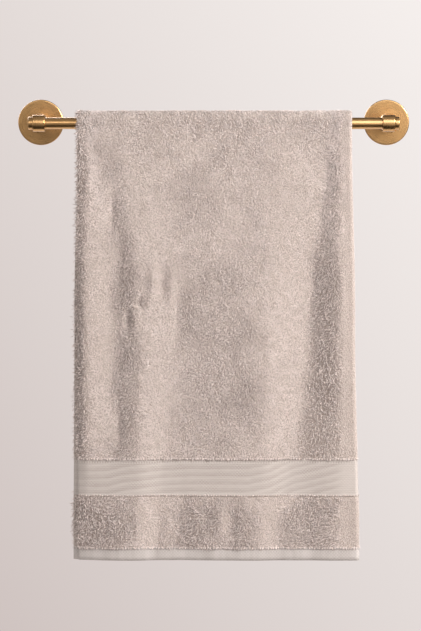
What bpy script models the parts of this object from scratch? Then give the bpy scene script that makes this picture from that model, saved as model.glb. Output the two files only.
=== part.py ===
"""A bath towel, folded once along its length and hung over a brass wall rail.

Metres, +Z up. The wall is the plane y = 0, and the towel hangs before it, towards -Y.
The origin is on the wall, midway between the rosettes and level with the rail's axis.
"""
import math
from typing import NamedTuple

import bmesh
import bpy

MM = 0.001
GAP = 0.3 * MM

# The rail: an 18 inch bar between two posts that stand on round rosettes.
POST_SPACING = 457.0 * MM
RAIL_STANDOFF = 70.0 * MM
BAR_RADIUS = 7.5 * MM
BAR_BEVEL_RESOLUTION = 14
ROSETTE_RADIUS = 30.0 * MM
ROSETTE_DEPTH = 5.0 * MM
ROSETTE_ROUNDING = 1.5 * MM
POST_RADIUS = 12.5 * MM
POST_SHORT_OF_AXIS = 3.5 * MM
POST_SIDES = 48
SLEEVE_RADIUS = 11.0 * MM
SLEEVE_INWARD = 9.3 * MM
SLEEVE_OUTWARD = 6.5 * MM
SLEEVE_ROUNDING = 0.8 * MM
SOCKET_DEPTH = 12.0 * MM
BUTTON_RADIUS = 8.5 * MM
BUTTON_LENGTH = 5.7 * MM
BUTTON_ROUNDING = 1.2 * MM
GROOVE_DEPTH = 0.6 * MM
GROOVE_WIDTH = 0.7 * MM
GROOVE_FROM_BASE = 1.2 * MM
TURNED_STEPS = 40
ROUNDING_POINTS = 3

# The towel: cloth thickness by zone, and how its two plies lie over the bar.
TERRY = 4.4 * MM
BAND_CLOTH = 1.9 * MM
HEM_CLOTH = 2.6 * MM
EDGE_THINNING = 0.6
REST_CLEARANCE = 0.5 * MM
PLY_PITCH = TERRY + 0.6 * MM
ZONE_STEP = 1.5 * MM
FRONT_HEM_Z = -570.0 * MM
BACK_HEM_Z = -562.0 * MM
UPPER_Z = -80.0 * MM
MIDDLE_Z = -260.0 * MM
LOW_Z = -570.0 * MM
BEND_SPANS = 8
SIDE_FOLD_SPANS = 6
RIPPLE_DEPTH = 0.4 * MM
RIPPLE_LENGTH = 56.0 * MM
RIPPLE_START_X = -28.0 * MM
RIPPLE_TOP_Z = -450.0 * MM
RIPPLE_FULL_Z = -550.0 * MM


class Zone(NamedTuple):
    """A level stretch of the cloth, counted up from a hem. A height of None reaches the rail."""

    name: str
    height: float | None
    cloth: float
    front_spans: int
    back_spans: int


ZONES = (
    Zone("hem", 16.5 * MM, HEM_CLOTH, 2, 1),
    Zone("lower_pile", 69.5 * MM, TERRY, 3, 2),
    Zone("border_band", 48.0 * MM, BAND_CLOTH, 3, 2),
    Zone("upper_pile", None, TERRY, 14, 10),
)


class Fold(NamedTuple):
    """One ridge, valley or side of a drop, in millimetres.

    The x columns follow its line down from the rail. The depth columns say how far the outer
    ply stands out there, and under_share is the part of that which the ply below it follows.
    outer_spans is how many spans of the outer ply lie between it and the next one.
    """

    name: str
    x_rail: float
    x_middle: float
    x_low: float
    at_rail: float
    upper: float
    middle: float
    low: float
    under_share: float
    outer_spans: int


FRONT_FOLDS = (
    Fold("open_side", -176.0, -177.5, -177.5, 0.0, -0.8, -3.0, -5.5, 1.0, 2),
    Fold("ridge_1", -163.0, -166.0, -162.0, 0.0, 0.8, 1.9, -2.0, 0.8, 3),
    Fold("valley_1", -150.0, -131.0, -146.0, 0.0, -0.5, -1.5, 0.7, 1.0, 3),
    Fold("ridge_2", -110.0, -93.0, -103.0, 0.0, 0.7, 2.3, 3.6, 0.8, 3),
    Fold("valley_2", -47.0, -47.0, -70.0, 0.0, 0.0, -0.7, -1.8, 1.0, 4),
    Fold("ridge_3", 80.0, 68.0, 58.0, 0.0, 1.3, 3.4, 3.0, 0.8, 4),
    Fold("valley_3", 148.0, 126.0, 92.0, 0.0, -0.4, -3.2, -0.5, 1.0, 3),
    Fold("ridge_4", 165.0, 167.0, 166.0, 0.3, 1.6, 3.4, 2.2, 0.0, 2),
    Fold("folded_side", 179.6, 185.0, 191.8, 0.6, 1.4, 2.2, 2.0, -0.4, 0),
)

BACK_FOLDS = (
    Fold("open_side", -176.0, -176.0, -178.0, 0.0, -0.5, -1.5, -1.5, 1.0, 2),
    Fold("ridge_1", -163.0, -160.0, -158.0, 0.0, 0.4, 1.5, 2.0, 0.6, 3),
    Fold("valley_1", -142.0, -125.0, -118.0, 0.0, -0.2, -1.5, -2.0, 1.0, 3),
    Fold("ridge_2", -102.0, -80.0, -72.0, 0.0, 0.6, 2.0, 2.5, 0.8, 3),
    Fold("valley_2", -47.0, -30.0, -20.0, 0.0, 0.0, -1.5, -1.5, 1.0, 4),
    Fold("ridge_3", 80.0, 60.0, 55.0, 0.0, 0.6, 2.5, 3.0, 0.8, 4),
    Fold("valley_3", 145.0, 128.0, 122.0, 0.0, -0.4, -1.8, -2.0, 1.0, 3),
    Fold("ridge_4", 164.0, 160.0, 160.0, 0.3, 1.6, 2.5, 2.5, 0.0, 2),
    Fold("folded_side", 178.8, 181.0, 186.0, 0.6, 1.2, 1.8, 1.8, -0.4, 0),
)

# How far the under ply's open side passes the outer ply's: at the rail, in the middle, at the hem.
UNDER_PLY_SHOWS = (0.0, 4.0, 6.5)
UNDER_SPANS = 2

BRASS = (0.56, 0.35, 0.14, 1.0)
GREIGE = (0.56, 0.46, 0.41, 1.0)


def clear_scene():
    """Removes whatever the new file holds."""
    for thing in list(bpy.data.objects):
        bpy.data.objects.remove(thing, do_unlink=True)


def make_collection(name):
    """Returns a new collection under the scene's own."""
    collection = bpy.data.collections.new(name)
    bpy.context.scene.collection.children.link(collection)
    return collection


def make_material(name, color, roughness, metallic):
    """Returns a Principled material for one sub-part."""
    material = bpy.data.materials.new(name)
    material.use_nodes = True
    shader = material.node_tree.nodes["Principled BSDF"]
    shader.inputs["Base Color"].default_value = color
    shader.inputs["Roughness"].default_value = roughness
    shader.inputs["Metallic"].default_value = metallic
    return material


def place(thing, collection, material=None):
    """Moves an object into one collection and gives it its material."""
    for other in list(thing.users_collection):
        other.objects.unlink(thing)
    collection.objects.link(thing)
    if material is not None:
        thing.data.materials.clear()
        thing.data.materials.append(material)


def brushed_brass(name):
    """Returns the satin brass of one fitting."""
    return make_material(name, BRASS, 0.32, 1.0)


def rounded_corner(radius, height, rounding, top=True):
    """Points of a quarter round at an outer corner, in the order that runs down the outer side."""
    points = []
    for i in range(ROUNDING_POINTS + 1):
        turn = math.pi / 2 * i / ROUNDING_POINTS
        across, along = math.sin(turn), math.cos(turn)
        if not top:
            across, along = along, -across
        centre_height = height - rounding if top else height + rounding
        points.append((radius - rounding + rounding * across, centre_height + rounding * along))
    return points


def turned(name, profile, collection, location, rotation):
    """Turns a profile of (radius, height) points, which runs down the outer side, about its axis."""
    mesh = bpy.data.meshes.new(name)
    points = [(radius, 0.0, height) for radius, height in profile]
    edges = [(i, i + 1) for i in range(len(points) - 1)]
    mesh.from_pydata(points, edges, [])
    thing = bpy.data.objects.new(name, mesh)
    place(thing, collection, brushed_brass(name + "_brass"))
    thing.location = location
    thing.rotation_euler = rotation
    screw = thing.modifiers.new("turn", "SCREW")
    screw.steps = TURNED_STEPS
    screw.render_steps = TURNED_STEPS
    screw.use_merge_vertices = True
    screw.merge_threshold = 0.00001
    screw.use_smooth_shade = True
    return thing


def make_rosette(name, x, collection):
    """A flat disc against the wall, with its front edge rounded."""
    profile = [(0.0, ROSETTE_DEPTH)]
    profile += rounded_corner(ROSETTE_RADIUS, ROSETTE_DEPTH, ROSETTE_ROUNDING)
    profile += [(ROSETTE_RADIUS, 0.0), (0.0, 0.0)]
    turned(name, profile, collection, (x, 0.0, 0.0), (math.pi / 2, 0.0, 0.0))


def make_post(name, x, collection, cutters):
    """A round post from the rosette out to the sleeve, saddled to fit the sleeve's back."""
    start = ROSETTE_DEPTH + GAP
    stop = RAIL_STANDOFF - POST_SHORT_OF_AXIS
    bpy.ops.mesh.primitive_cylinder_add(
        vertices=POST_SIDES,
        radius=POST_RADIUS,
        depth=stop - start,
        location=(x, -(start + stop) / 2, 0.0),
        rotation=(math.pi / 2, 0.0, 0.0),
    )
    post = bpy.context.object
    post.name = name
    post.data.shade_smooth()
    post.data.set_sharp_from_angle(angle=math.radians(30.0))
    place(post, collection, brushed_brass(name + "_brass"))

    bpy.ops.mesh.primitive_cylinder_add(
        vertices=POST_SIDES,
        radius=SLEEVE_RADIUS + GAP,
        depth=4 * POST_RADIUS,
        location=(x, -RAIL_STANDOFF, 0.0),
        rotation=(0.0, math.pi / 2, 0.0),
    )
    cutter = bpy.context.object
    cutter.name = name + "_saddle_cutter"
    cutter.hide_render = True
    cutter.display_type = "WIRE"
    place(cutter, cutters)
    saddle = post.modifiers.new("saddle", "BOOLEAN")
    saddle.object = cutter
    saddle.operation = "DIFFERENCE"
    saddle.solver = "EXACT"


def make_sleeve(name, side, collection):
    """A collar round the bar's end with a blind socket; side is +1 on the right, -1 on the left."""
    socket = BAR_RADIUS + GAP
    profile = [(0.0, SLEEVE_OUTWARD)]
    profile += rounded_corner(SLEEVE_RADIUS, SLEEVE_OUTWARD, SLEEVE_ROUNDING)
    profile += rounded_corner(SLEEVE_RADIUS, -SLEEVE_INWARD, SLEEVE_ROUNDING, top=False)
    profile += [(socket, -SLEEVE_INWARD), (socket, SOCKET_DEPTH - SLEEVE_INWARD)]
    profile += [(0.0, SOCKET_DEPTH - SLEEVE_INWARD)]
    at = (side * POST_SPACING / 2, -RAIL_STANDOFF, 0.0)
    turned(name, profile, collection, at, (0.0, side * math.pi / 2, 0.0))


def make_end_cap(name, side, collection):
    """The grooved button that closes the sleeve's outer end."""
    base = SLEEVE_OUTWARD + GAP
    top = base + BUTTON_LENGTH
    groove = base + GROOVE_FROM_BASE
    floor = BUTTON_RADIUS - GROOVE_DEPTH
    profile = [(0.0, top)]
    profile += rounded_corner(BUTTON_RADIUS, top, BUTTON_ROUNDING)
    profile += [(BUTTON_RADIUS, groove + GROOVE_WIDTH), (floor, groove + GROOVE_WIDTH)]
    profile += [(floor, groove), (BUTTON_RADIUS, groove), (BUTTON_RADIUS, base), (0.0, base)]
    at = (side * POST_SPACING / 2, -RAIL_STANDOFF, 0.0)
    turned(name, profile, collection, at, (0.0, side * math.pi / 2, 0.0))


def make_rail(collection):
    """The straight bar, which ends in the two sleeves' sockets."""
    reach = POST_SPACING / 2 - SLEEVE_INWARD + SOCKET_DEPTH - GAP
    curve = bpy.data.curves.new("rail", "CURVE")
    curve.dimensions = "3D"
    curve.bevel_depth = BAR_RADIUS
    curve.bevel_resolution = BAR_BEVEL_RESOLUTION
    curve.use_fill_caps = True
    spline = curve.splines.new("POLY")
    spline.points.add(1)
    for point, x in zip(spline.points, (-reach, reach)):
        point.co = (x, -RAIL_STANDOFF, 0.0, 1.0)
    rail = bpy.data.objects.new("rail", curve)
    place(rail, collection, brushed_brass("rail_brass"))


def ease(start, stop, share):
    """Goes smoothly from start to stop as share goes from 0 to 1."""
    share = min(max(share, 0.0), 1.0)
    return start + (stop - start) * (1.0 - math.cos(math.pi * share)) / 2


def at_height(stops, z):
    """Reads a smooth line through (height, value) stops, listed downwards."""
    for (high, above), (low, below) in zip(stops, stops[1:]):
        if z >= low:
            return ease(above, below, (high - z) / (high - low))
    return stops[-1][1]


class Line(NamedTuple):
    """Where one fold crosses a level of the cloth: the two plies' x and depth, in metres."""

    outer_x: float
    outer_depth: float
    under_x: float
    under_depth: float
    spans: int


def lines_at(folds, z):
    """Finds where every fold crosses the height z. At the rail the under ply lies on the bar."""
    lines = []
    for fold in folds:
        x_stops = ((0.0, fold.x_rail), (MIDDLE_Z, fold.x_middle), (LOW_Z, fold.x_low))
        free = ((UPPER_Z, fold.upper), (MIDDLE_Z, fold.middle), (LOW_Z, fold.low))
        x = at_height(x_stops, z) * MM
        depth = at_height(((0.0, fold.at_rail), *free), z) * MM
        under_depth = at_height(((0.0, 0.0), *free), z) * fold.under_share * MM
        under_x = x
        if fold is folds[0]:
            shows = tuple(zip((0.0, MIDDLE_Z, LOW_Z), UNDER_PLY_SHOWS))
            under_x -= at_height(shows, z) * MM
        lines.append(Line(x, depth, under_x, under_depth, fold.outer_spans))
    return lines


def ripple(x, z):
    """The small waves that the cloth's end falls into."""
    strength = at_height(((RIPPLE_TOP_Z, 0.0), (RIPPLE_FULL_Z, RIPPLE_DEPTH)), min(z, RIPPLE_TOP_Z))
    return strength * math.sin(2 * math.pi * (x - RIPPLE_START_X) / RIPPLE_LENGTH)


def ply_line(xs, depths, spans, base, z):
    """One ply's centre line from the open side to the side fold, as (x, depth) points.

    It lies level at each ridge and valley, and keeps its slope where one fold climbs into the
    next. xs and depths are the folds' lines, and spans is the number of steps after each.
    """
    climbs = [(b - a) / (d - c) for a, b, c, d in zip(depths, depths[1:], xs, xs[1:])]
    slopes = [climbs[0]]
    for before, after in zip(climbs, climbs[1:]):
        same_way = before * after > 0
        slopes.append(2 * before * after / (before + after) if same_way else 0.0)
    slopes.append(0.0)

    points = []
    for k, count in enumerate(spans):
        width = xs[k + 1] - xs[k]
        for i in range(count):
            share = i / count
            rest = 1.0 - share
            depth = depths[k] * (1 + 2 * share) * rest**2 + depths[k + 1] * (1 + 2 * rest) * share**2
            depth += width * share * rest * (slopes[k] * rest - slopes[k + 1] * share)
            x = xs[k] + width * share
            points.append((x, base + depth + ripple(x, z)))
    return points


def section(folds, z):
    """The cloth's centre line at one level, as (x, depth) points.

    It runs along the outer ply from the open side, round the folded side, and back along the
    under ply. Depth counts outwards from the face that lies on the bar.
    """
    lines = lines_at(folds, z)
    side = lines[-1]
    outer_base = TERRY / 2 + PLY_PITCH
    under_base = TERRY / 2
    turn_radius = (outer_base + side.outer_depth - under_base - side.under_depth) / 2
    turn_x = side.outer_x - TERRY / 2 - turn_radius
    turn_depth = under_base + side.under_depth + turn_radius

    outer_xs = [line.outer_x for line in lines[:-1]] + [turn_x]
    under_xs = [line.under_x for line in lines[:-1]] + [turn_x]
    outer_spans = [line.spans for line in lines[:-1]]
    under_spans = [UNDER_SPANS] * len(outer_spans)
    outer = ply_line(outer_xs, [line.outer_depth for line in lines], outer_spans, outer_base, z)
    under = ply_line(under_xs, [line.under_depth for line in lines], under_spans, under_base, z)

    round_side = []
    for i in range(SIDE_FOLD_SPANS + 1):
        turn = math.pi * i / SIDE_FOLD_SPANS
        x = turn_x + turn_radius * math.sin(turn)
        depth = turn_depth + turn_radius * math.cos(turn) + ripple(turn_x, z)
        round_side.append((x, depth))
    return outer + round_side + under[::-1]


def drop_levels(hem_z, back=False):
    """Returns (height, cloth thickness) for each level of one drop, from its hem to the rail."""
    levels = []
    low = hem_z
    for zone in ZONES:
        high = 0.0 if zone.height is None else low + zone.height
        start = low + ZONE_STEP / 2 if levels else low
        stop = high - ZONE_STEP / 2 if zone.height else high
        spans = zone.back_spans if back else zone.front_spans
        for i in range(spans + 1):
            levels.append((start + (stop - start) * i / spans, zone.cloth))
        low = high
    return levels


def towel_rows():
    """Returns each row of the hung cloth as its points and its thickness, from hem to hem."""
    reach = BAR_RADIUS + REST_CLEARANCE
    rows = []
    for z, cloth in drop_levels(FRONT_HEM_Z):
        points = [(x, -RAIL_STANDOFF - reach - depth, z) for x, depth in section(FRONT_FOLDS, z)]
        rows.append((points, cloth))
    for i in range(1, BEND_SPANS):
        turn = math.pi * i / BEND_SPANS
        points = []
        for x, depth in section(FRONT_FOLDS, 0.0):
            y = -RAIL_STANDOFF - (reach + depth) * math.cos(turn)
            points.append((x, y, (reach + depth) * math.sin(turn)))
        rows.append((points, TERRY))
    for z, cloth in reversed(drop_levels(BACK_HEM_Z, back=True)):
        points = [(x, -RAIL_STANDOFF + reach + depth, z) for x, depth in section(BACK_FOLDS, z)]
        rows.append((points, cloth))
    return rows


def make_towel(collection):
    """Lays a grid along the hung cloth's middle and gives it the thickness of each zone."""
    rows = towel_rows()
    across = len(rows[0][0])
    mesh = bpy.data.meshes.new("towel")
    sheet = bmesh.new()
    bmesh.ops.create_grid(sheet, x_segments=across - 1, y_segments=len(rows) - 1, size=1.0)
    sheet.verts.ensure_lookup_table()
    for r, (points, _) in enumerate(rows):
        for c, point in enumerate(points):
            sheet.verts[r * across + c].co = point
    sheet.to_mesh(mesh)
    sheet.free()
    mesh.shade_smooth()

    towel = bpy.data.objects.new("towel", mesh)
    place(towel, collection, make_material("towel_terry", GREIGE, 0.95, 0.0))
    thickness = towel.vertex_groups.new(name="thickness")
    for r, (_, cloth) in enumerate(rows):
        inside = [r * across + c for c in range(1, across - 1)]
        thickness.add(inside, cloth / TERRY, "REPLACE")
        sides = [r * across, (r + 1) * across - 1]
        thickness.add(sides, EDGE_THINNING * cloth / TERRY, "REPLACE")
    solid = towel.modifiers.new("cloth", "SOLIDIFY")
    solid.thickness = TERRY
    solid.offset = 0.0
    solid.vertex_group = "thickness"


def main():
    """Builds the rail from the wall outwards, then hangs the towel on it."""
    clear_scene()
    parts = make_collection("bath_towel_on_wall_rail")
    cutters = make_collection("cutters")
    for side, word in ((-1, "left"), (1, "right")):
        x = side * POST_SPACING / 2
        make_rosette("rosette_" + word, x, parts)
        make_post("post_" + word, x, parts, cutters)
        make_sleeve("sleeve_" + word, side, parts)
        make_end_cap("end_cap_" + word, side, parts)
    make_rail(parts)
    make_towel(parts)


main()
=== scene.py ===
"""A greige terry bath towel on a satin brass wall rail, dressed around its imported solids.

Metres, +Z up. The wall is the plane y = 0, the towel hangs before it, and the camera looks
along +Y. Sizes are those of the solids unless a comment says otherwise.
"""
import logging
import math
from dataclasses import dataclass, field
from enum import Enum
from typing import NamedTuple

import bpy
import numpy as np
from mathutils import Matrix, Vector


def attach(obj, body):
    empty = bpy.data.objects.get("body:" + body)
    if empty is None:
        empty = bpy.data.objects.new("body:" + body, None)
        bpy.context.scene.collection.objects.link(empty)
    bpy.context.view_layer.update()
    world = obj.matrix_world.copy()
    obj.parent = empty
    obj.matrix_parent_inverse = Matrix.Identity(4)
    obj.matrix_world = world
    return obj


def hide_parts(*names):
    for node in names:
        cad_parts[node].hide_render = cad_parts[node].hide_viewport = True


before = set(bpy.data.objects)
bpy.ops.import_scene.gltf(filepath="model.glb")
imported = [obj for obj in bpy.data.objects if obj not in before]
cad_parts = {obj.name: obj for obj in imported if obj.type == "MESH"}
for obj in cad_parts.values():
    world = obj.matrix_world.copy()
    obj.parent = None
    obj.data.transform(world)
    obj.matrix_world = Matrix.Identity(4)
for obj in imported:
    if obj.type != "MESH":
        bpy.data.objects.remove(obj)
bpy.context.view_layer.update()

log = logging.getLogger("towel")

MM = 0.001
BODY = "root"
PHOTO_SIZE = (421, 631)

RAIL_STANDOFF = 70.0 * MM
POST_SPACING = 457.0 * MM
BAR_RADIUS = 7.5 * MM

# A colour Mix node's inputs for the share and the two colours, and its output.
MIX_INPUTS = (0, 6, 7)
MIX_OUTPUT = 2


class Slot(Enum):
    """The record's material slots."""

    TERRY = "terry"
    BRASS = "brass"


class Ply(Enum):
    """Which face of the hung cloth a patch of pile grows on."""

    OUTER = 1
    INNER = -1


class Value:
    """Wraps a shader socket, so that maths on it reads as a plain expression."""

    def __init__(self, tree: "Nodes", socket: bpy.types.NodeSocket) -> None:
        """Keeps the tree and the output socket."""
        self.tree = tree
        self.socket = socket

    def maths(self, operation: str, *others: "Value | float") -> "Value":
        """Adds one Math node.

        Args:
            operation: The Math node's operation.
            others: The values that follow this one.

        Returns:
            The node's result.
        """
        return self.tree.maths(operation, self, *others)

    def __add__(self, other: "Value | float") -> "Value":
        """self + other."""
        return self.tree.maths("ADD", self, other)

    def __radd__(self, other: float) -> "Value":
        """other + self."""
        return self.tree.maths("ADD", other, self)

    def __sub__(self, other: "Value | float") -> "Value":
        """self - other."""
        return self.tree.maths("SUBTRACT", self, other)

    def __rsub__(self, other: float) -> "Value":
        """other - self."""
        return self.tree.maths("SUBTRACT", other, self)

    def __mul__(self, other: "Value | float") -> "Value":
        """self * other."""
        return self.tree.maths("MULTIPLY", self, other)

    def __rmul__(self, other: float) -> "Value":
        """other * self."""
        return self.tree.maths("MULTIPLY", other, self)

    def __truediv__(self, other: "Value | float") -> "Value":
        """self / other."""
        return self.tree.maths("DIVIDE", self, other)

    def __pow__(self, other: "Value | float") -> "Value":
        """self ** other."""
        return self.tree.maths("POWER", self, other)


class Nodes:
    """A node tree, with short ways to add to it."""

    def __init__(self, tree: bpy.types.NodeTree) -> None:
        """Keeps the tree's nodes and links."""
        self.nodes = tree.nodes
        self.links = tree.links

    def node(
        self, kind: str, settings: dict | None = None, *inputs: object, **sockets: object
    ) -> bpy.types.Node:
        """Adds a node.

        Args:
            kind: The node's type.
            settings: Its properties, which are set first. stops are a ramp's (place, shade).
            inputs: Values or links for its first inputs, in order.
            sockets: Values or links by the input's name, with underscores for spaces.

        Returns:
            The node.
        """
        made = self.nodes.new(kind)
        for name, value in (settings or {}).items():
            if name == "stops":
                self.set_stops(made, value)
            else:
                setattr(made, name, value)
        for socket, value in zip(made.inputs, inputs):
            self.put(socket, value)
        for name, value in sockets.items():
            self.put(made.inputs[name.replace("_", " ")], value)
        return made

    @staticmethod
    def set_stops(ramp: bpy.types.Node, stops: list) -> None:
        """Gives a ramp its stops.

        Args:
            ramp: The Color Ramp node.
            stops: Its (place, shade) pairs.
        """
        elements = ramp.color_ramp.elements
        while len(elements) < len(stops):
            elements.new(0.5)
        for element, (place, shade) in zip(elements, stops):
            element.position = place
            element.color = (shade, shade, shade, 1.0)

    def put(self, socket: bpy.types.NodeSocket, value: object) -> None:
        """Links a value to a socket, or sets it there.

        Args:
            socket: The input.
            value: A wrapped socket, a socket or a plain value.
        """
        if isinstance(value, Value):
            self.links.new(value.socket, socket)
        elif isinstance(value, bpy.types.NodeSocket):
            self.links.new(value, socket)
        else:
            socket.default_value = value

    def maths(self, operation: str, *values: "Value | float") -> Value:
        """Adds a Math node for an operation on values."""
        made = self.node("ShaderNodeMath", {"operation": operation}, *values)
        return Value(self, made.outputs[0])

    def attribute(self, name: str) -> Value:
        """Reads a float attribute of the piece."""
        made = self.node("ShaderNodeAttribute", {"attribute_name": name})
        return Value(self, made.outputs["Fac"])

    def place(self, coordinates: str = "Object") -> bpy.types.NodeSocket:
        """Returns a texture coordinate."""
        return self.node("ShaderNodeTexCoord").outputs[coordinates]

    def stretched(self, vector: bpy.types.NodeSocket, scale: tuple) -> bpy.types.NodeSocket:
        """Scales a coordinate by a Mapping node."""
        made = self.node("ShaderNodeMapping", Vector=vector, Scale=scale)
        return made.outputs["Vector"]

    def noise(self, vector: bpy.types.NodeSocket, scale: float, detail: float = 2.0) -> Value:
        """Reads a noise texture, from 0 to 1."""
        made = self.node("ShaderNodeTexNoise", Vector=vector, Scale=scale, Detail=detail)
        return Value(self, made.outputs["Fac"])

    def ramp(self, value: Value, stops: list) -> Value:
        """Passes a value through a ramp of (place, shade) stops."""
        made = self.node("ShaderNodeValToRGB", {"stops": stops}, Fac=value)
        return Value(self, made.outputs["Color"])

    def mixed(self, share: object, first: object, second: object) -> bpy.types.NodeSocket:
        """Mixes two colours.

        Args:
            share: How much of the second there is: a value, a socket or a number.
            first: The first colour, or its socket.
            second: The second colour, or its socket.

        Returns:
            The mixed colour's socket.
        """
        made = self.node("ShaderNodeMix", {"data_type": "RGBA"})
        for place, value in zip(MIX_INPUTS, (share, first, second)):
            self.put(made.inputs[place], value)
        return made.outputs[MIX_OUTPUT]


class Tree(Nodes):
    """A new material's node tree, with its Principled shader."""

    def __init__(self, name: str) -> None:
        """Makes the material.

        Args:
            name: The material's name.
        """
        self.material = bpy.data.materials.new(name)
        self.material.use_nodes = True
        super().__init__(self.material.node_tree)
        self.shader = self.nodes["Principled BSDF"]

    def bumped(self, height: Value, distance: float, strength: float = 1.0) -> None:
        """Feeds a height, in shares of distance, to the shader's normal."""
        made = self.node("ShaderNodeBump", Height=height, Distance=distance, Strength=strength)
        self.links.new(made.outputs["Normal"], self.shader.inputs["Normal"])

    def finish(self, **sockets: object) -> bpy.types.Material:
        """Sets or links the shader's own sockets.

        Args:
            sockets: Values or links by the socket's name, with underscores for spaces.

        Returns:
            The material.
        """
        for name, value in sockets.items():
            self.put(self.shader.inputs[name.replace("_", " ")], value)
        return self.material


def rgba(red: float, green: float, blue: float, level: float = 1.0) -> tuple:
    """A linear colour, scaled by a level."""
    return (red * level, green * level, blue * level, 1.0)


@dataclass(frozen=True)
class BrushedBrass:
    """Satin brass with fine turning or brushing marks.

    Attributes:
        name: The material's name.
        centre: The point that the marks run round.
        stretch: How the noise is drawn out along X, Y and Z to make marks.
        rings: True where the marks are circles about centre, on a face across Y.
        dark: The colour in the marks.
        light: The colour between them.
        ring_pitch: How finely a face with rings is marked, in marks a metre of its radius.
    """

    name: str
    centre: tuple = (0.0, 0.0, 0.0)
    stretch: tuple = (1.0, 1.0, 1.0)
    rings: bool = False
    dark: tuple = rgba(0.43, 0.226, 0.076)
    light: tuple = rgba(0.73, 0.450, 0.195)
    ring_pitch: float = 2600.0

    def material(self) -> bpy.types.Material:
        """Builds the finish.

        Returns:
            The material.
        """
        tree = Tree(self.name)
        settings = {"operation": "SUBTRACT"}
        local = tree.node("ShaderNodeVectorMath", settings, tree.place(), self.centre).outputs[0]
        if self.rings:
            split = tree.node("ShaderNodeSeparateXYZ", Vector=local)
            x, z = Value(tree, split.outputs[0]), Value(tree, split.outputs[2])
            radius = (x * x + z * z).maths("SQRT")
            turn = z.maths("ARCTAN2", x)
            joined = tree.node("ShaderNodeCombineXYZ", X=radius * self.ring_pitch, Y=turn * 1.2)
            marks = tree.noise(joined.outputs[0], 1.0, 3.0)
        else:
            marks = tree.noise(tree.stretched(local, self.stretch), 1.0, 3.0)
        cloud = tree.noise(local, 38.0, 2.0)
        level = (marks - 0.5) * 0.5 + (cloud - 0.5) * 0.45 + 0.5
        color = tree.mixed(level, self.dark, self.light)
        tree.bumped(marks, 0.00006, 0.55)
        return tree.finish(
            Base_Color=color,
            Metallic=1.0,
            Roughness=0.30 + (marks - 0.5) * 0.22 + (cloud - 0.5) * 0.10,
            Coat_Weight=0.45,
            Coat_Roughness=0.16,
        )


@dataclass(frozen=True)
class TerryYarn:
    """The tufts of the pile: soft cotton, each tuft of its own tone with painted light and shade
    laid over it, and painted shade at its root.
    """

    name: str = "terry_yarn"
    light: tuple = rgba(0.800, 0.695, 0.660)
    # The dark end is painted shade: roots and shaded strands are mixed towards it.
    dark: tuple = rgba(0.26, 0.200, 0.175)

    def material(self) -> bpy.types.Material:
        """Builds the finish.

        Returns:
            The material.
        """
        tree = Tree(self.name)
        tone = tree.attribute("tuft_tone_and_shade")
        rise = tree.attribute("tuft_root_shading")
        drift = tree.noise(tree.place(), 26.0, 3.0)
        fibre = tree.noise(tree.place(), 1400.0, 2.0)
        # Mixes each tuft's tone, which carries painted light and shade, with painted shade at its
        # root.
        share = tone * 0.70 + rise * 0.30 + (drift - 0.5) * 0.36 + (fibre - 0.5) * 0.14
        color = tree.mixed(share, self.dark, self.light)
        tree.bumped(fibre, 0.0002, 0.5)
        return tree.finish(
            Base_Color=color,
            Roughness=0.92,
            Subsurface_Weight=0.18,
            Subsurface_Radius=(1.0, 0.85, 0.75),
            Subsurface_Scale=0.0010,
            Sheen_Weight=0.12,
            Sheen_Roughness=0.55,
            Specular_IOR_Level=0.15,
        )


@dataclass(frozen=True)
class GroundCloth:
    """The woven ground between the tufts' roots, with rows of loop feet, darkened as painted shade
    between the tufts and between the feet.
    """

    name: str = "terry_ground_painted_shade"
    # Both colours are darker than the yarn: painted shade down between the tufts.
    light: tuple = rgba(0.52, 0.45, 0.41)
    dark: tuple = rgba(0.30, 0.245, 0.215)

    def material(self) -> bpy.types.Material:
        """Builds the finish.

        Returns:
            The material.
        """
        tree = Tree(self.name)
        flat = tree.place("UV")
        feet = tree.node("ShaderNodeTexVoronoi", Vector=flat, Scale=620.0)
        near = Value(tree, feet.outputs["Distance"])
        drift = tree.noise(flat, 60.0, 3.0)
        # Darker away from each foot's middle: painted shade between the loop feet.
        share = 0.9 - near * 0.9 + (drift - 0.5) * 0.4
        tree.bumped(1.0 - near, 0.0008, 0.8)
        return tree.finish(
            Base_Color=tree.mixed(share, self.dark, self.light),
            Roughness=0.95,
            Sheen_Weight=0.2,
            Sheen_Roughness=0.6,
            Specular_IOR_Level=0.1,
        )


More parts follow.
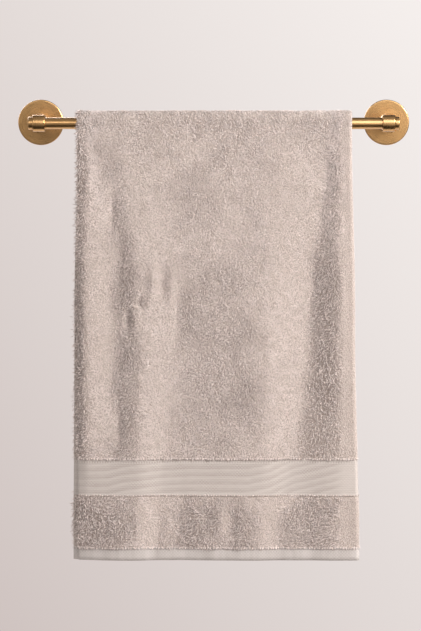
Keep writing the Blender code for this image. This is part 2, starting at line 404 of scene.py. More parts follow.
@dataclass(frozen=True)
class BandWeave:
    """The smooth border band: fine ribs along it, with broad soft stripes that sway, and a painted
    shadow along its top edge under the pile's last loops.
    """

    name: str = "border_band_weave"
    light: tuple = rgba(0.475, 0.428, 0.400)
    dark: tuple = rgba(0.315, 0.270, 0.245)
    rib_pitch: float = 2.9 * MM
    check_pitch: float = 4.2 * MM
    loop_pitch: float = 3.4 * MM

    def material(self) -> bpy.types.Material:
        """Builds the finish.

        Returns:
            The material.
        """
        tree = Tree(self.name)
        flat = tree.place("UV")
        split = tree.node("ShaderNodeSeparateXYZ", Vector=flat)
        across, along = Value(tree, split.outputs[0]), Value(tree, split.outputs[1])
        stripe_place = tree.attribute("stripe_place")
        stripe_depth = tree.attribute("stripe_depth")
        wander = tree.noise(tree.stretched(flat, (22.0, 60.0, 1.0)), 1.0, 2.0)
        phase = (stripe_place + (wander - 0.5) * 0.35) * (2 * math.pi)
        broad = (phase.maths("SINE") * 0.5 + 0.5) ** 1.8
        narrow = ((phase * 2.0 + 0.8).maths("SINE") * 0.5 + 0.5) ** 3.0
        soft = (broad * 0.75 + narrow * 0.35) * stripe_depth
        turn = 2 * math.pi / self.rib_pitch
        ribs = (along * turn).maths("SINE") * 0.5 + 0.5
        check = 2 * math.pi / self.check_pitch
        picks = (across * check).maths("SINE") * (along * check).maths("SINE")
        patches = tree.ramp(tree.noise(flat, 55.0, 2.0), [(0.52, 0.0), (0.66, 1.0)])
        weave = ribs * 0.6 + picks * (0.3 + patches * 0.9) + 0.2
        thread = tree.noise(tree.stretched(flat, (110.0, 650.0, 1.0)), 1.0, 2.0)
        drift = tree.noise(flat, 30.0, 2.0)
        share = 0.86 - soft * 0.50 + (weave - 0.5) * 0.26 + (thread - 0.5) * 0.50
        share = share + (drift - 0.5) * 0.28
        height = tree.attribute("zone_height")
        # upper marks the band's top edge, where the painted shadow of the loops above falls.
        upper = tree.ramp(height, [(0.955, 0.0), (0.985, 1.0)])
        dots_row = tree.ramp(height, [(0.88, 0.0), (0.905, 1.0), (0.94, 1.0), (0.955, 0.0)])
        lower = tree.ramp(height, [(0.02, 1.0), (0.06, 0.0)])
        loops = (across * (2 * math.pi / self.loop_pitch)).maths("SINE") * 0.5 + 0.5
        broken = tree.ramp(tree.noise(flat, 150.0, 1.0), [(0.40, 0.0), (0.60, 1.0)])
        # Painted shadow under the overhanging loops, broken into dashes by the loops.
        share = share - upper * broken * (0.45 + loops * 1.1)
        share = share + dots_row * (loops - 0.35) * 0.9 + lower * 0.30
        tree.bumped(weave * 0.6 + (1.0 - soft) * 0.8 + thread * 0.2, 0.00028, 0.6)
        return tree.finish(
            Base_Color=tree.mixed(share, self.dark, self.light),
            Roughness=0.74,
            Sheen_Weight=0.08,
            Sheen_Roughness=0.5,
            Specular_IOR_Level=0.2,
        )


@dataclass(frozen=True)
class HemTwill:
    """The flat hem: a fine dotted weave with a stitched line near its upper edge, soft vertical
    bands of painted light and shade, and painted shade along its top under the pile.
    """

    name: str = "hem_twill"
    light: tuple = rgba(0.485, 0.448, 0.430)
    dark: tuple = rgba(0.300, 0.265, 0.245)
    dot_pitch: float = 4.2 * MM
    stitch_pitch: float = 3.4 * MM

    def material(self) -> bpy.types.Material:
        """Builds the finish.

        Returns:
            The material.
        """
        tree = Tree(self.name)
        flat = tree.place("UV")
        split = tree.node("ShaderNodeSeparateXYZ", Vector=flat)
        across, along = Value(tree, split.outputs[0]), Value(tree, split.outputs[1])
        turn = 2 * math.pi / self.dot_pitch
        weave = (across * turn).maths("SINE") * (along * turn).maths("SINE") * 0.5 + 0.5
        thread = tree.noise(flat, 900.0, 3.0)
        # drift paints soft vertical bands of light and shade, standing in for small folds.
        drift = tree.noise(tree.stretched(flat, (62.0, 9.0, 1.0)), 1.0, 2.0)
        height = tree.attribute("zone_height")
        # upper marks the top edge, where painted shade falls under the pile.
        upper = tree.ramp(height, [(0.84, 0.0), (0.90, 1.0)])
        stitch_line = tree.ramp(height, [(0.66, 0.0), (0.70, 1.0), (0.74, 1.0), (0.78, 0.0)])
        stitches = ((across * (2 * math.pi / self.stitch_pitch)).maths("SINE") * 4.0).maths("TANH")
        share = 0.72 + (weave - 0.5) * 0.45 + (thread - 0.5) * 0.5 + (drift - 0.5) * 1.3
        share = share - upper * 0.5 + stitch_line * stitches * 0.25
        tree.bumped(weave, 0.00016, 0.6)
        return tree.finish(
            Base_Color=tree.mixed(share, self.dark, self.light),
            Roughness=0.78,
            Sheen_Weight=0.08,
            Sheen_Roughness=0.5,
            Specular_IOR_Level=0.2,
        )


@dataclass(frozen=True)
class StudioPaint:
    """The plain matt finish of the floor, or of a card that only reflections see.

    Attributes:
        name: The material's name.
        color: Its colour, which clouds over a little.
        glow: The light that it gives off.
        shade: How dark the clouds are, in shares of the colour.
    """

    name: str
    color: tuple
    glow: float = 0.0
    shade: float = 0.96

    def material(self) -> bpy.types.Material:
        """Builds the finish.

        Returns:
            The material.
        """
        tree = Tree(self.name)
        cloud = tree.noise(tree.place(), 3.0, 2.0)
        darker = rgba(*self.color[:3], self.shade)
        color = tree.mixed(cloud, darker, self.color)
        if self.glow:
            tree.finish(Emission_Color=color, Emission_Strength=self.glow)
        return tree.finish(Base_Color=color, Roughness=0.9)


@dataclass
class Studio:
    """The camera at the photo's angle, soft light from the upper right, and a pale floor.

    Attributes:
        distance: From the camera to the rail's axis, along Y.
        height: Of the camera above the rail.
        aim: The angle below the horizon that the camera looks at, in degrees.
        pixels_per_radian: The lens, in pixels of the photo.
        sideways: The camera's place along X.
        floor_z: The floor's height.
        floor_radius: The floor's radius.
        sensor: The camera's sensor, in millimetres.
        surround: The light from all round, and surround_level its strength.
        backdrop_painted_shade: What the camera sees to the lower left, painted darker as shade,
            with
        backdrop_painted_light, painted lighter as light, to the upper right, backdrop_way the way
        from one to the other, and backdrop_span its ends.
    """

    distance: float = 3.6
    height: float = 0.067
    aim: float = 5.04
    pixels_per_radian: float = 2766.0
    sideways: float = -0.0042
    floor_z: float = -1.25
    floor_radius: float = 2.6
    sensor: float = 36.0
    surround: tuple = rgba(0.93, 0.88, 0.86)
    surround_level: float = 0.38
    backdrop_painted_shade: tuple = rgba(0.62, 0.545, 0.525)
    backdrop_painted_light: tuple = rgba(0.92, 0.872, 0.85)
    backdrop_way: tuple = (3.2, 0.0, 2.2)
    backdrop_span: tuple = (-0.69, 0.31)

    def build(self) -> None:
        """Makes everything."""
        self.add_camera()
        self.add_world()
        self.add_floor()
        self.add_lights()
        self.add_cards()

    def add_camera(self) -> None:
        """Places the camera; the sensor's width spans the photo's long side."""
        data = bpy.data.cameras.new("camera")
        data.sensor_width = self.sensor
        data.lens = self.pixels_per_radian * self.sensor / max(PHOTO_SIZE)
        data.clip_end = 60.0
        camera = bpy.data.objects.new("camera", data)
        camera.location = (self.sideways, -RAIL_STANDOFF - self.distance, self.height)
        camera.rotation_euler = (math.radians(90.0 - self.aim), 0.0, 0.0)
        bpy.context.scene.collection.objects.link(camera)
        bpy.context.scene.camera = camera

    def add_world(self) -> None:
        """A soft surround, a little dimmer than the pale backdrop that the camera sees in it, which
        has painted shade to the lower left and painted light to the upper right.
        """
        world = bpy.data.worlds.new("surround")
        bpy.context.scene.world = world
        world.use_nodes = True
        tree = Nodes(world.node_tree)
        tree.nodes.clear()
        level = self.surround_level
        lights = tree.node("ShaderNodeBackground", Color=self.surround, Strength=level)
        settings, seen = {"operation": "DOT_PRODUCT"}, tree.place("Generated")
        way = tree.node("ShaderNodeVectorMath", settings, seen, self.backdrop_way).outputs["Value"]
        low, high = self.backdrop_span
        share = tree.node("ShaderNodeMapRange", Value=way, From_Min=low, From_Max=high).outputs[0]
        # The backdrop's tint is painted light and shade: darker to the lower left, lighter to the
        # upper right.
        tint = tree.mixed(share, self.backdrop_painted_shade, self.backdrop_painted_light)
        shows = tree.node("ShaderNodeBackground", Color=tint)
        is_seen = tree.node("ShaderNodeLightPath").outputs["Is Camera Ray"]
        mix = tree.node("ShaderNodeMixShader", {}, is_seen, lights.outputs[0], shows.outputs[0])
        tree.node("ShaderNodeOutputWorld", Surface=mix.outputs[0])

    def add_floor(self) -> None:
        """A round pale floor at a rail's usual height below it."""
        bpy.ops.mesh.primitive_circle_add(
            vertices=96, radius=self.floor_radius, fill_type="NGON", location=(0, 0, self.floor_z)
        )
        floor = bpy.context.object
        floor.name = "floor"
        floor.data.materials.append(StudioPaint("floor_paint", rgba(0.80, 0.76, 0.74)).material())

    @staticmethod
    def add_light(
        name: str, place: tuple, aim: tuple, size: tuple, power: float, tint: tuple
    ) -> bpy.types.Object:
        """Adds one soft area light.

        Args:
            name: The light's name.
            place: Where it is.
            aim: The point it faces.
            size: Its width and height.
            power: In watts.
            tint: Its colour.

        Returns:
            The light.
        """
        data = bpy.data.lights.new(name, "AREA")
        data.shape = "RECTANGLE"
        data.size, data.size_y = size
        data.energy = power
        data.color = tint
        lamp = bpy.data.objects.new(name, data)
        lamp.location = place
        lamp.rotation_euler = (Vector(aim) - Vector(place)).to_track_quat("-Z", "Y").to_euler()
        bpy.context.scene.collection.objects.link(lamp)
        return lamp

    def add_lights(self) -> None:
        """A key light from the upper right, a weak fill, a rim light and one for the back."""
        aim = (0.0, -RAIL_STANDOFF, -0.28)
        self.add_light("key", (2.35, -1.35, 1.15), aim, (0.7, 0.9), 150.0, (1.0, 0.975, 0.95))
        fill = self.add_light("fill", (-1.6, -3.2, 0.9), aim, (1.8, 1.8), 30.0, (1.0, 0.98, 0.965))
        fill.visible_glossy = False
        self.add_light("rim", (-1.7, -0.22, 0.15), aim, (0.5, 0.9), 4.0, (1.0, 0.97, 0.95))
        self.add_light("back", (-1.2, 2.6, 1.0), aim, (1.6, 1.6), 55.0, (1.0, 0.97, 0.95))

    @staticmethod
    def add_card(name: str, place: tuple, size: tuple, finish: bpy.types.Material) -> None:
        """Adds a card that only the brass's reflections see, facing the rail.

        Args:
            name: The card's name.
            place: Its middle.
            size: Its width and height.
            finish: Its material.
        """
        deselect_all()
        turn = (Vector((0.0, -RAIL_STANDOFF, 0.0)) - Vector(place)).to_track_quat("Z", "Y")
        bpy.ops.mesh.primitive_grid_add(
            x_subdivisions=4, y_subdivisions=4, size=1.0, location=place, rotation=turn.to_euler()
        )
        card = bpy.context.object
        card.name = name
        card.scale = (size[0], size[1], 1.0)
        bpy.ops.object.transform_apply(location=False, rotation=False, scale=True)
        card.data.materials.append(finish)
        card.visible_camera = False
        card.visible_diffuse = False
        card.visible_shadow = False

    def add_cards(self) -> None:
        """Two dark cards below and above the rail, and three glowing ones in front of it."""
        dark = StudioPaint("dark_paint", rgba(0.012, 0.009, 0.007)).material()
        self.add_card("dark_card", (0.0, -0.42, -0.55), (2.6, 0.75), dark)
        self.add_card("upper_dark_card", (0.0, 0.38, 0.60), (2.6, 0.5), dark)
        bright = StudioPaint("bright_paint", rgba(0.86, 0.9, 1.0), glow=2.7).material()
        self.add_card("bright_card", (0.42, -1.15, 0.62), (1.25, 0.8), bright)
        side = StudioPaint("side_paint", rgba(0.9, 0.87, 0.84), glow=1.3).material()
        self.add_card("side_card", (0.68, -1.2, -0.06), (0.62, 0.55), side)
        left = StudioPaint("left_paint", rgba(0.9, 0.88, 0.86), glow=1.5).material()
        self.add_card("left_card", (-0.52, -1.15, 0.42), (0.70, 0.36), left)


def deselect_all() -> None:
    bpy.ops.object.select_all(action="DESELECT")


def smooth(piece: bpy.types.Object, angle: float = 35.0) -> None:
    """Shades a piece smooth.

    Args:
        piece: The piece.
        angle: How sharp an edge has to be to stay sharp, in degrees.
    """
    deselect_all()
    piece.select_set(True)
    bpy.context.view_layer.objects.active = piece
    bpy.ops.object.shade_smooth_by_angle(angle=math.radians(angle))


def dress(piece: bpy.types.Object, slot: Slot, *finishes: bpy.types.Material) -> bpy.types.Object:
    """Gives a piece its materials and its body.

    Args:
        piece: The piece.
        slot: Its slot in the record; it is not used.
        finishes: Its materials, in order.

    Returns:
        The piece.
    """
    for finish in finishes:
        piece.data.materials.append(finish)
    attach(piece, BODY)
    return piece


class Axis(Enum):
    """The axis that a fitting is turned about, with the way its heights run."""

    OUT_OF_WALL = Vector((0.0, -1.0, 0.0))
    TO_RIGHT = Vector((1.0, 0.0, 0.0))
    TO_LEFT = Vector((-1.0, 0.0, 0.0))


@dataclass
class Turning:
    """A fitting turned on a lathe.

    Attributes:
        name: The piece's name.
        axis: The way that heights run.
        base: The point on the axis at height 0.
        profile: The (radius, height) points that are spun.
        steps: The steps of a full turn.
    """

    name: str
    axis: Axis
    base: Vector
    profile: list
    steps: int = 96

    def build(self) -> bpy.types.Object:
        """Spins the profile.

        Returns:
            The closed, smooth piece.
        """
        along = self.axis.value
        up = Vector((0.0, 0.0, 1.0))
        mesh = bpy.data.meshes.new(self.name)
        points = [self.base + along * height + up * radius for radius, height in self.profile]
        edges = [(i, i + 1) for i in range(len(points) - 1)]
        mesh.from_pydata([tuple(p) for p in points], edges, [])
        piece = bpy.data.objects.new(self.name, mesh)
        bpy.context.scene.collection.objects.link(piece)
        deselect_all()
        piece.select_set(True)
        bpy.context.view_layer.objects.active = piece
        bpy.ops.object.mode_set(mode="EDIT")
        bpy.ops.mesh.select_all(action="SELECT")
        bpy.ops.mesh.spin(
            steps=self.steps, angle=2 * math.pi, center=tuple(self.base), axis=tuple(along)
        )
        bpy.ops.mesh.select_all(action="SELECT")
        bpy.ops.mesh.remove_doubles(threshold=0.00001)
        bpy.ops.mesh.normals_make_consistent(inside=False)
        bpy.ops.object.mode_set(mode="OBJECT")
        smooth(piece)
        return piece


def corner(radius: float, height: float, rounding: float, turn_up: bool) -> list:
    """A quarter round at an outer corner of a profile, run from the axis side outwards or back.

    Args:
        radius: The corner's radius from the axis.
        height: The corner's height.
        rounding: The radius of the rounding.
        turn_up: True at the high end of the profile, False at its low end.

    Returns:
        The points, in the order that runs down the outer side.
    """
    points = []
    for i in range(7):
        turn = math.pi / 2 * i / 6
        across, along = math.sin(turn), math.cos(turn)
        if not turn_up:
            across, along = along, -across
        centre = height - rounding if turn_up else height + rounding
        points.append((radius - rounding + rounding * across, centre + rounding * along))
    return points


@dataclass
class RailFittings:
    """The brass rail: bar, rosettes, posts, sleeves and end caps, finer than their solids."""

    rosette_radius: float = 30.0 * MM
    rosette_depth: float = 5.0 * MM
    post_radius: float = 12.5 * MM
    sleeve_radius: float = 11.0 * MM
    sleeve_inward: float = 9.3 * MM
    sleeve_outward: float = 6.5 * MM
    socket_depth: float = 12.0 * MM
    button_radius: float = 8.5 * MM
    button_length: float = 5.7 * MM
    gap: float = 0.3 * MM

    def build(self) -> None:
        """Makes the pieces of both ends and the bar between them."""
        for side, word, axis in ((-1, "left", Axis.TO_LEFT), (1, "right", Axis.TO_RIGHT)):
            x = side * POST_SPACING / 2
            self.rosette(word, x)
            self.post(word, x)
            self.sleeve(word, x, axis)
            self.end_cap(word, x, axis)
        self.bar()

    def fitted(self, piece: bpy.types.Object, node: str, finish: BrushedBrass) -> None:
        """Dresses one piece and lets it stand for its node.

        Args:
            piece: The piece.
            node: The node's name.
            finish: What it is made of.
        """
        dress(piece, Slot.BRASS, finish.material())
        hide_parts(node)
        log.info("fitting %s: %d faces", piece.name, len(piece.data.polygons))

    def rosette(self, word: str, x: float) -> None:
        """The round plate on the wall, with a soft front edge.

        Args:
            word: left or right, for the names.
            x: The post's place along X.
        """
        face = self.rosette_radius - 2.2 * MM
        profile = [(0.0, self.rosette_depth), (face, self.rosette_depth)]
        profile += corner(self.rosette_radius, self.rosette_depth, 1.5 * MM, True)
        profile += corner(self.rosette_radius, 0.0, 0.3 * MM, False) + [(0.0, 0.0)]
        centre = Vector((x, 0.0, 0.0))
        piece = Turning("plate_" + word, Axis.OUT_OF_WALL, centre, profile).build()
        finish = BrushedBrass("brass_plate_" + word, centre=tuple(centre), rings=True)
        self.fitted(piece, "rosette_" + word, finish)

    def post(self, word: str, x: float) -> None:
        """The post out from the plate, cut to a saddle round the sleeve.

        Args:
            word: left or right, for the names.
            x: The post's place along X.
        """
        start = self.rosette_depth + self.gap
        stop = RAIL_STANDOFF - 3.5 * MM
        profile = [(0.0, stop), (self.post_radius, stop), (self.post_radius, start)]
        profile += [(0.0, start)]
        piece = Turning("stem_" + word, Axis.OUT_OF_WALL, Vector((x, 0.0, 0.0)), profile).build()
        deselect_all()
        bpy.ops.mesh.primitive_cylinder_add(
            vertices=96,
            radius=self.sleeve_radius + self.gap,
            depth=0.06,
            location=(x, -RAIL_STANDOFF, 0.0),
            rotation=(0.0, math.pi / 2, 0.0),
        )
        cutter = bpy.context.object
        saddle = piece.modifiers.new("saddle", "BOOLEAN")
        saddle.object = cutter
        saddle.operation = "DIFFERENCE"
        edges = piece.modifiers.new("edges", "BEVEL")
        edges.width = 0.4 * MM
        edges.segments = 2
        edges.angle_limit = math.radians(40.0)
        deselect_all()
        bpy.context.view_layer.objects.active = piece
        bpy.ops.object.modifier_apply(modifier="saddle")
        bpy.ops.object.modifier_apply(modifier="edges")
        bpy.data.objects.remove(cutter)
        smooth(piece)
        finish = BrushedBrass("brass_stem_" + word, stretch=(400.0, 60.0, 400.0))
        self.fitted(piece, "post_" + word, finish)

    def sleeve(self, word: str, x: float, axis: Axis) -> None:
        """The collar at the bar's end, turned with fine rings along its outside.

        Args:
            word: left or right, for the names.
            x: The post's place along X.
            axis: The way out from the towel.
        """
        socket = BAR_RADIUS + self.gap
        bottom = self.socket_depth - self.sleeve_inward
        profile = [(0.0, self.sleeve_outward)]
        profile += corner(self.sleeve_radius, self.sleeve_outward, 0.8 * MM, True)
        high, low = self.sleeve_outward - 1.2 * MM, 1.2 * MM - self.sleeve_inward
        rings = 14
        for i in range(rings + 1):
            height = high + (low - high) * i / rings
            profile.append((self.sleeve_radius - (0.12 * MM if i % 2 else 0.0), height))
        profile += corner(self.sleeve_radius, -self.sleeve_inward, 0.8 * MM, False)
        mouth = -self.sleeve_inward
        profile += [(socket + 0.3 * MM, mouth), (socket, mouth + 0.3 * MM)]
        profile += [(socket, bottom), (0.0, bottom)]
        centre = Vector((x, -RAIL_STANDOFF, 0.0))
        piece = Turning("collar_" + word, axis, centre, profile).build()
        finish = BrushedBrass("brass_collar_" + word, stretch=(2400.0, 40.0, 40.0))
        self.fitted(piece, "sleeve_" + word, finish)

    def end_cap(self, word: str, x: float, axis: Axis) -> None:
        """The grooved button on the collar's outer end.

        Args:
            word: left or right, for the names.
            x: The post's place along X.
            axis: The way out from the towel.
        """
        base = self.sleeve_outward + self.gap
        top = base + self.button_length
        floor = self.button_radius - 0.6 * MM
        groove = base + 1.2 * MM
        profile = [(0.0, top)] + corner(self.button_radius, top, 1.2 * MM, True)
        profile += [(self.button_radius, groove + 0.7 * MM), (floor, groove + 0.7 * MM)]
        profile += [(floor, groove), (self.button_radius, groove)]
        profile += corner(self.button_radius, base, 0.2 * MM, False) + [(0.0, base)]
        piece = Turning("button_" + word, axis, Vector((x, -RAIL_STANDOFF, 0.0)), profile).build()
        finish = BrushedBrass("brass_button_" + word, stretch=(1800.0, 60.0, 60.0))
        self.fitted(piece, "end_cap_" + word, finish)

    def bar(self) -> None:
        """The straight bar, brushed along its length."""
        reach = POST_SPACING / 2 - self.sleeve_inward + self.socket_depth - self.gap
        profile = [(0.0, 2 * reach)] + corner(BAR_RADIUS, 2 * reach, 0.4 * MM, True)
        profile += corner(BAR_RADIUS, 0.0, 0.4 * MM, False) + [(0.0, 0.0)]
        start = Vector((-reach, -RAIL_STANDOFF, 0.0))
        piece = Turning("bar", Axis.TO_RIGHT, start, profile).build()
        finish = BrushedBrass("brass_bar", stretch=(14.0, 900.0, 900.0))
        self.fitted(piece, "rail", finish)


class Fold(NamedTuple):
    """One ridge, valley or side of a drop, in millimetres, as in the solid.

    The x columns follow its line down from the rail. The depth columns say how far the outer
    ply stands out there, and under_share is the part of that which the ply below it follows.
    """

    name: str
    x_rail: float
    x_middle: float
    x_low: float
    at_rail: float
    upper: float
    middle: float
    low: float
    under_share: float
    outer_spans: int


FRONT_FOLDS = (
    Fold("open_side", -176.0, -177.5, -177.5, 0.0, -0.8, -3.0, -5.5, 1.0, 2),
    Fold("ridge_1", -163.0, -166.0, -162.0, 0.0, 0.8, 1.9, -2.0, 0.8, 3),
    Fold("valley_1", -150.0, -131.0, -146.0, 0.0, -0.5, -1.5, 0.7, 1.0, 3),
    Fold("ridge_2", -110.0, -93.0, -103.0, 0.0, 0.7, 2.3, 3.6, 0.8, 3),
    Fold("valley_2", -47.0, -47.0, -70.0, 0.0, 0.0, -0.7, -1.8, 1.0, 4),
    Fold("ridge_3", 80.0, 68.0, 58.0, 0.0, 1.3, 3.4, 3.0, 0.8, 4),
    Fold("valley_3", 148.0, 126.0, 92.0, 0.0, -0.4, -3.2, -0.5, 1.0, 3),
    Fold("ridge_4", 165.0, 167.0, 166.0, 0.3, 1.6, 3.4, 2.2, 0.0, 2),
    Fold("folded_side", 179.6, 185.0, 191.8, 0.6, 1.4, 2.2, 2.0, -0.4, 0),
)

BACK_FOLDS = (
    Fold("open_side", -176.0, -176.0, -178.0, 0.0, -0.5, -1.5, -1.5, 1.0, 2),
    Fold("ridge_1", -163.0, -160.0, -158.0, 0.0, 0.4, 1.5, 2.0, 0.6, 3),
    Fold("valley_1", -142.0, -125.0, -118.0, 0.0, -0.2, -1.5, -2.0, 1.0, 3),
    Fold("ridge_2", -102.0, -80.0, -72.0, 0.0, 0.6, 2.0, 2.5, 0.8, 3),
    Fold("valley_2", -47.0, -30.0, -20.0, 0.0, 0.0, -1.5, -1.5, 1.0, 4),
    Fold("ridge_3", 80.0, 60.0, 55.0, 0.0, 0.6, 2.5, 3.0, 0.8, 4),
    Fold("valley_3", 145.0, 128.0, 122.0, 0.0, -0.4, -1.8, -2.0, 1.0, 3),
    Fold("ridge_4", 164.0, 160.0, 160.0, 0.3, 1.6, 2.5, 2.5, 0.0, 2),
    Fold("folded_side", 178.8, 181.0, 186.0, 0.6, 1.2, 1.8, 1.8, -0.4, 0),
)


class Zone(Enum):
    """The level stretches of the cloth, with each one's index among the sheet's finishes."""

    PILE = 0
    BAND = 1
    HEM = 2


class Stretch(NamedTuple):
    """One zone counted up from a hem: its kind, height and the ground cloth's thickness."""

    zone: Zone
    height: float
    cloth: float


STRETCHES = (
    Stretch(Zone.HEM, 16.5 * MM, 2.6 * MM),
    Stretch(Zone.PILE, 69.5 * MM, 2.4 * MM),
    Stretch(Zone.BAND, 48.0 * MM, 1.9 * MM),
    Stretch(Zone.PILE, 0.0, 2.4 * MM),
)


class Dimple(NamedTuple):
    """A small soft dent or swelling of the front drop, in millimetres.

    Its place, its half sizes, and how far it stands outwards.
    """

    x: float
    z: float
    width: float
    height: float
    depth: float


DIMPLES = (
    Dimple(-109.0, -254.0, 3.8, 11.0, -3.2),
    Dimple(-100.5, -252.0, 3.8, 10.0, 2.3),
    Dimple(-95.0, -232.0, 4.2, 8.0, -2.0),
    Dimple(-120.0, -175.0, 11.0, 32.0, -1.3),
    Dimple(-130.0, -112.0, 8.0, 22.0, -1.2),
    Dimple(-51.0, -226.0, 6.0, 16.0, -0.5),
    Dimple(-79.0, -200.0, 5.5, 24.0, 1.1),
    Dimple(-53.0, -213.0, 6.0, 26.0, 1.0),
    Dimple(-66.0, -212.0, 6.0, 28.0, -0.7),
    Dimple(-121.0, -392.0, 8.0, 26.0, -1.6),
    Dimple(-44.0, -252.0, 8.0, 30.0, -1.1),
    Dimple(-42.0, -520.0, 14.0, 30.0, -1.4),
    Dimple(8.0, -520.0, 8.0, 30.0, 1.2),
    Dimple(26.0, -520.0, 7.0, 30.0, -1.0),
    Dimple(4.0, -563.0, 7.0, 12.0, 0.7),
    Dimple(-62.0, -563.0, 8.0, 12.0, 0.7),
    Dimple(112.0, -563.0, 9.0, 12.0, 0.7),
)


def ease(start: np.ndarray, stop: np.ndarray, share: np.ndarray) -> np.ndarray:
    """Goes smoothly from start to stop as share goes from 0 to 1."""
    share = np.clip(share, 0.0, 1.0)
    return start + (stop - start) * (1.0 - np.cos(math.pi * share)) / 2


def at_height(stops: tuple, z: float) -> float:
    """Reads a smooth line through stops.

    Args:
        stops: The (height, value) pairs, listed downwards.
        z: The height to read at.

    Returns:
        The value there, or the last one below them all.
    """
    for (high, above), (low, below) in zip(stops, stops[1:]):
        if z >= low:
            return float(ease(above, below, (high - z) / (high - low)))
    return stops[-1][1]


def lattice_noise(u: np.ndarray, v: np.ndarray, cell: float, seed: int) -> np.ndarray:
    """Soft noise over the flat cloth.

    Args:
        u: Places across the cloth.
        v: Places along it.
        cell: The size of one swell.
        seed: Fixes the pattern.

    Returns:
        Values between about -1 and 1.
    """
    size = 256
    table = np.random.default_rng(seed).uniform(-1.0, 1.0, (size, size))
    x, y = u / cell, v / cell
    i, j = np.floor(x).astype(int), np.floor(y).astype(int)
    a, b = x - i, y - j
    a, b = a * a * (3 - 2 * a), b * b * (3 - 2 * b)
    i0, j0, i1, j1 = i % size, j % size, (i + 1) % size, (j + 1) % size
    low = table[i0, j0] * (1 - a) + table[i1, j0] * a
    high = table[i0, j1] * (1 - a) + table[i1, j1] * a
    return low * (1 - b) + high * b


class Noise(NamedTuple):
    """A soft pattern over the flat cloth: the size of a swell, its seed and its strength."""

    cell: float
    seed: int
    strength: float

    def read(self, u: np.ndarray, v: np.ndarray) -> np.ndarray:
        """The pattern's values at flat places."""
        return self.strength * lattice_noise(u, v, self.cell, self.seed)


class Row(NamedTuple):
    """One row of the hung cloth: its zone, thickness and points, hem to hem."""

    zone: Zone
    cloth: float
    points: np.ndarray


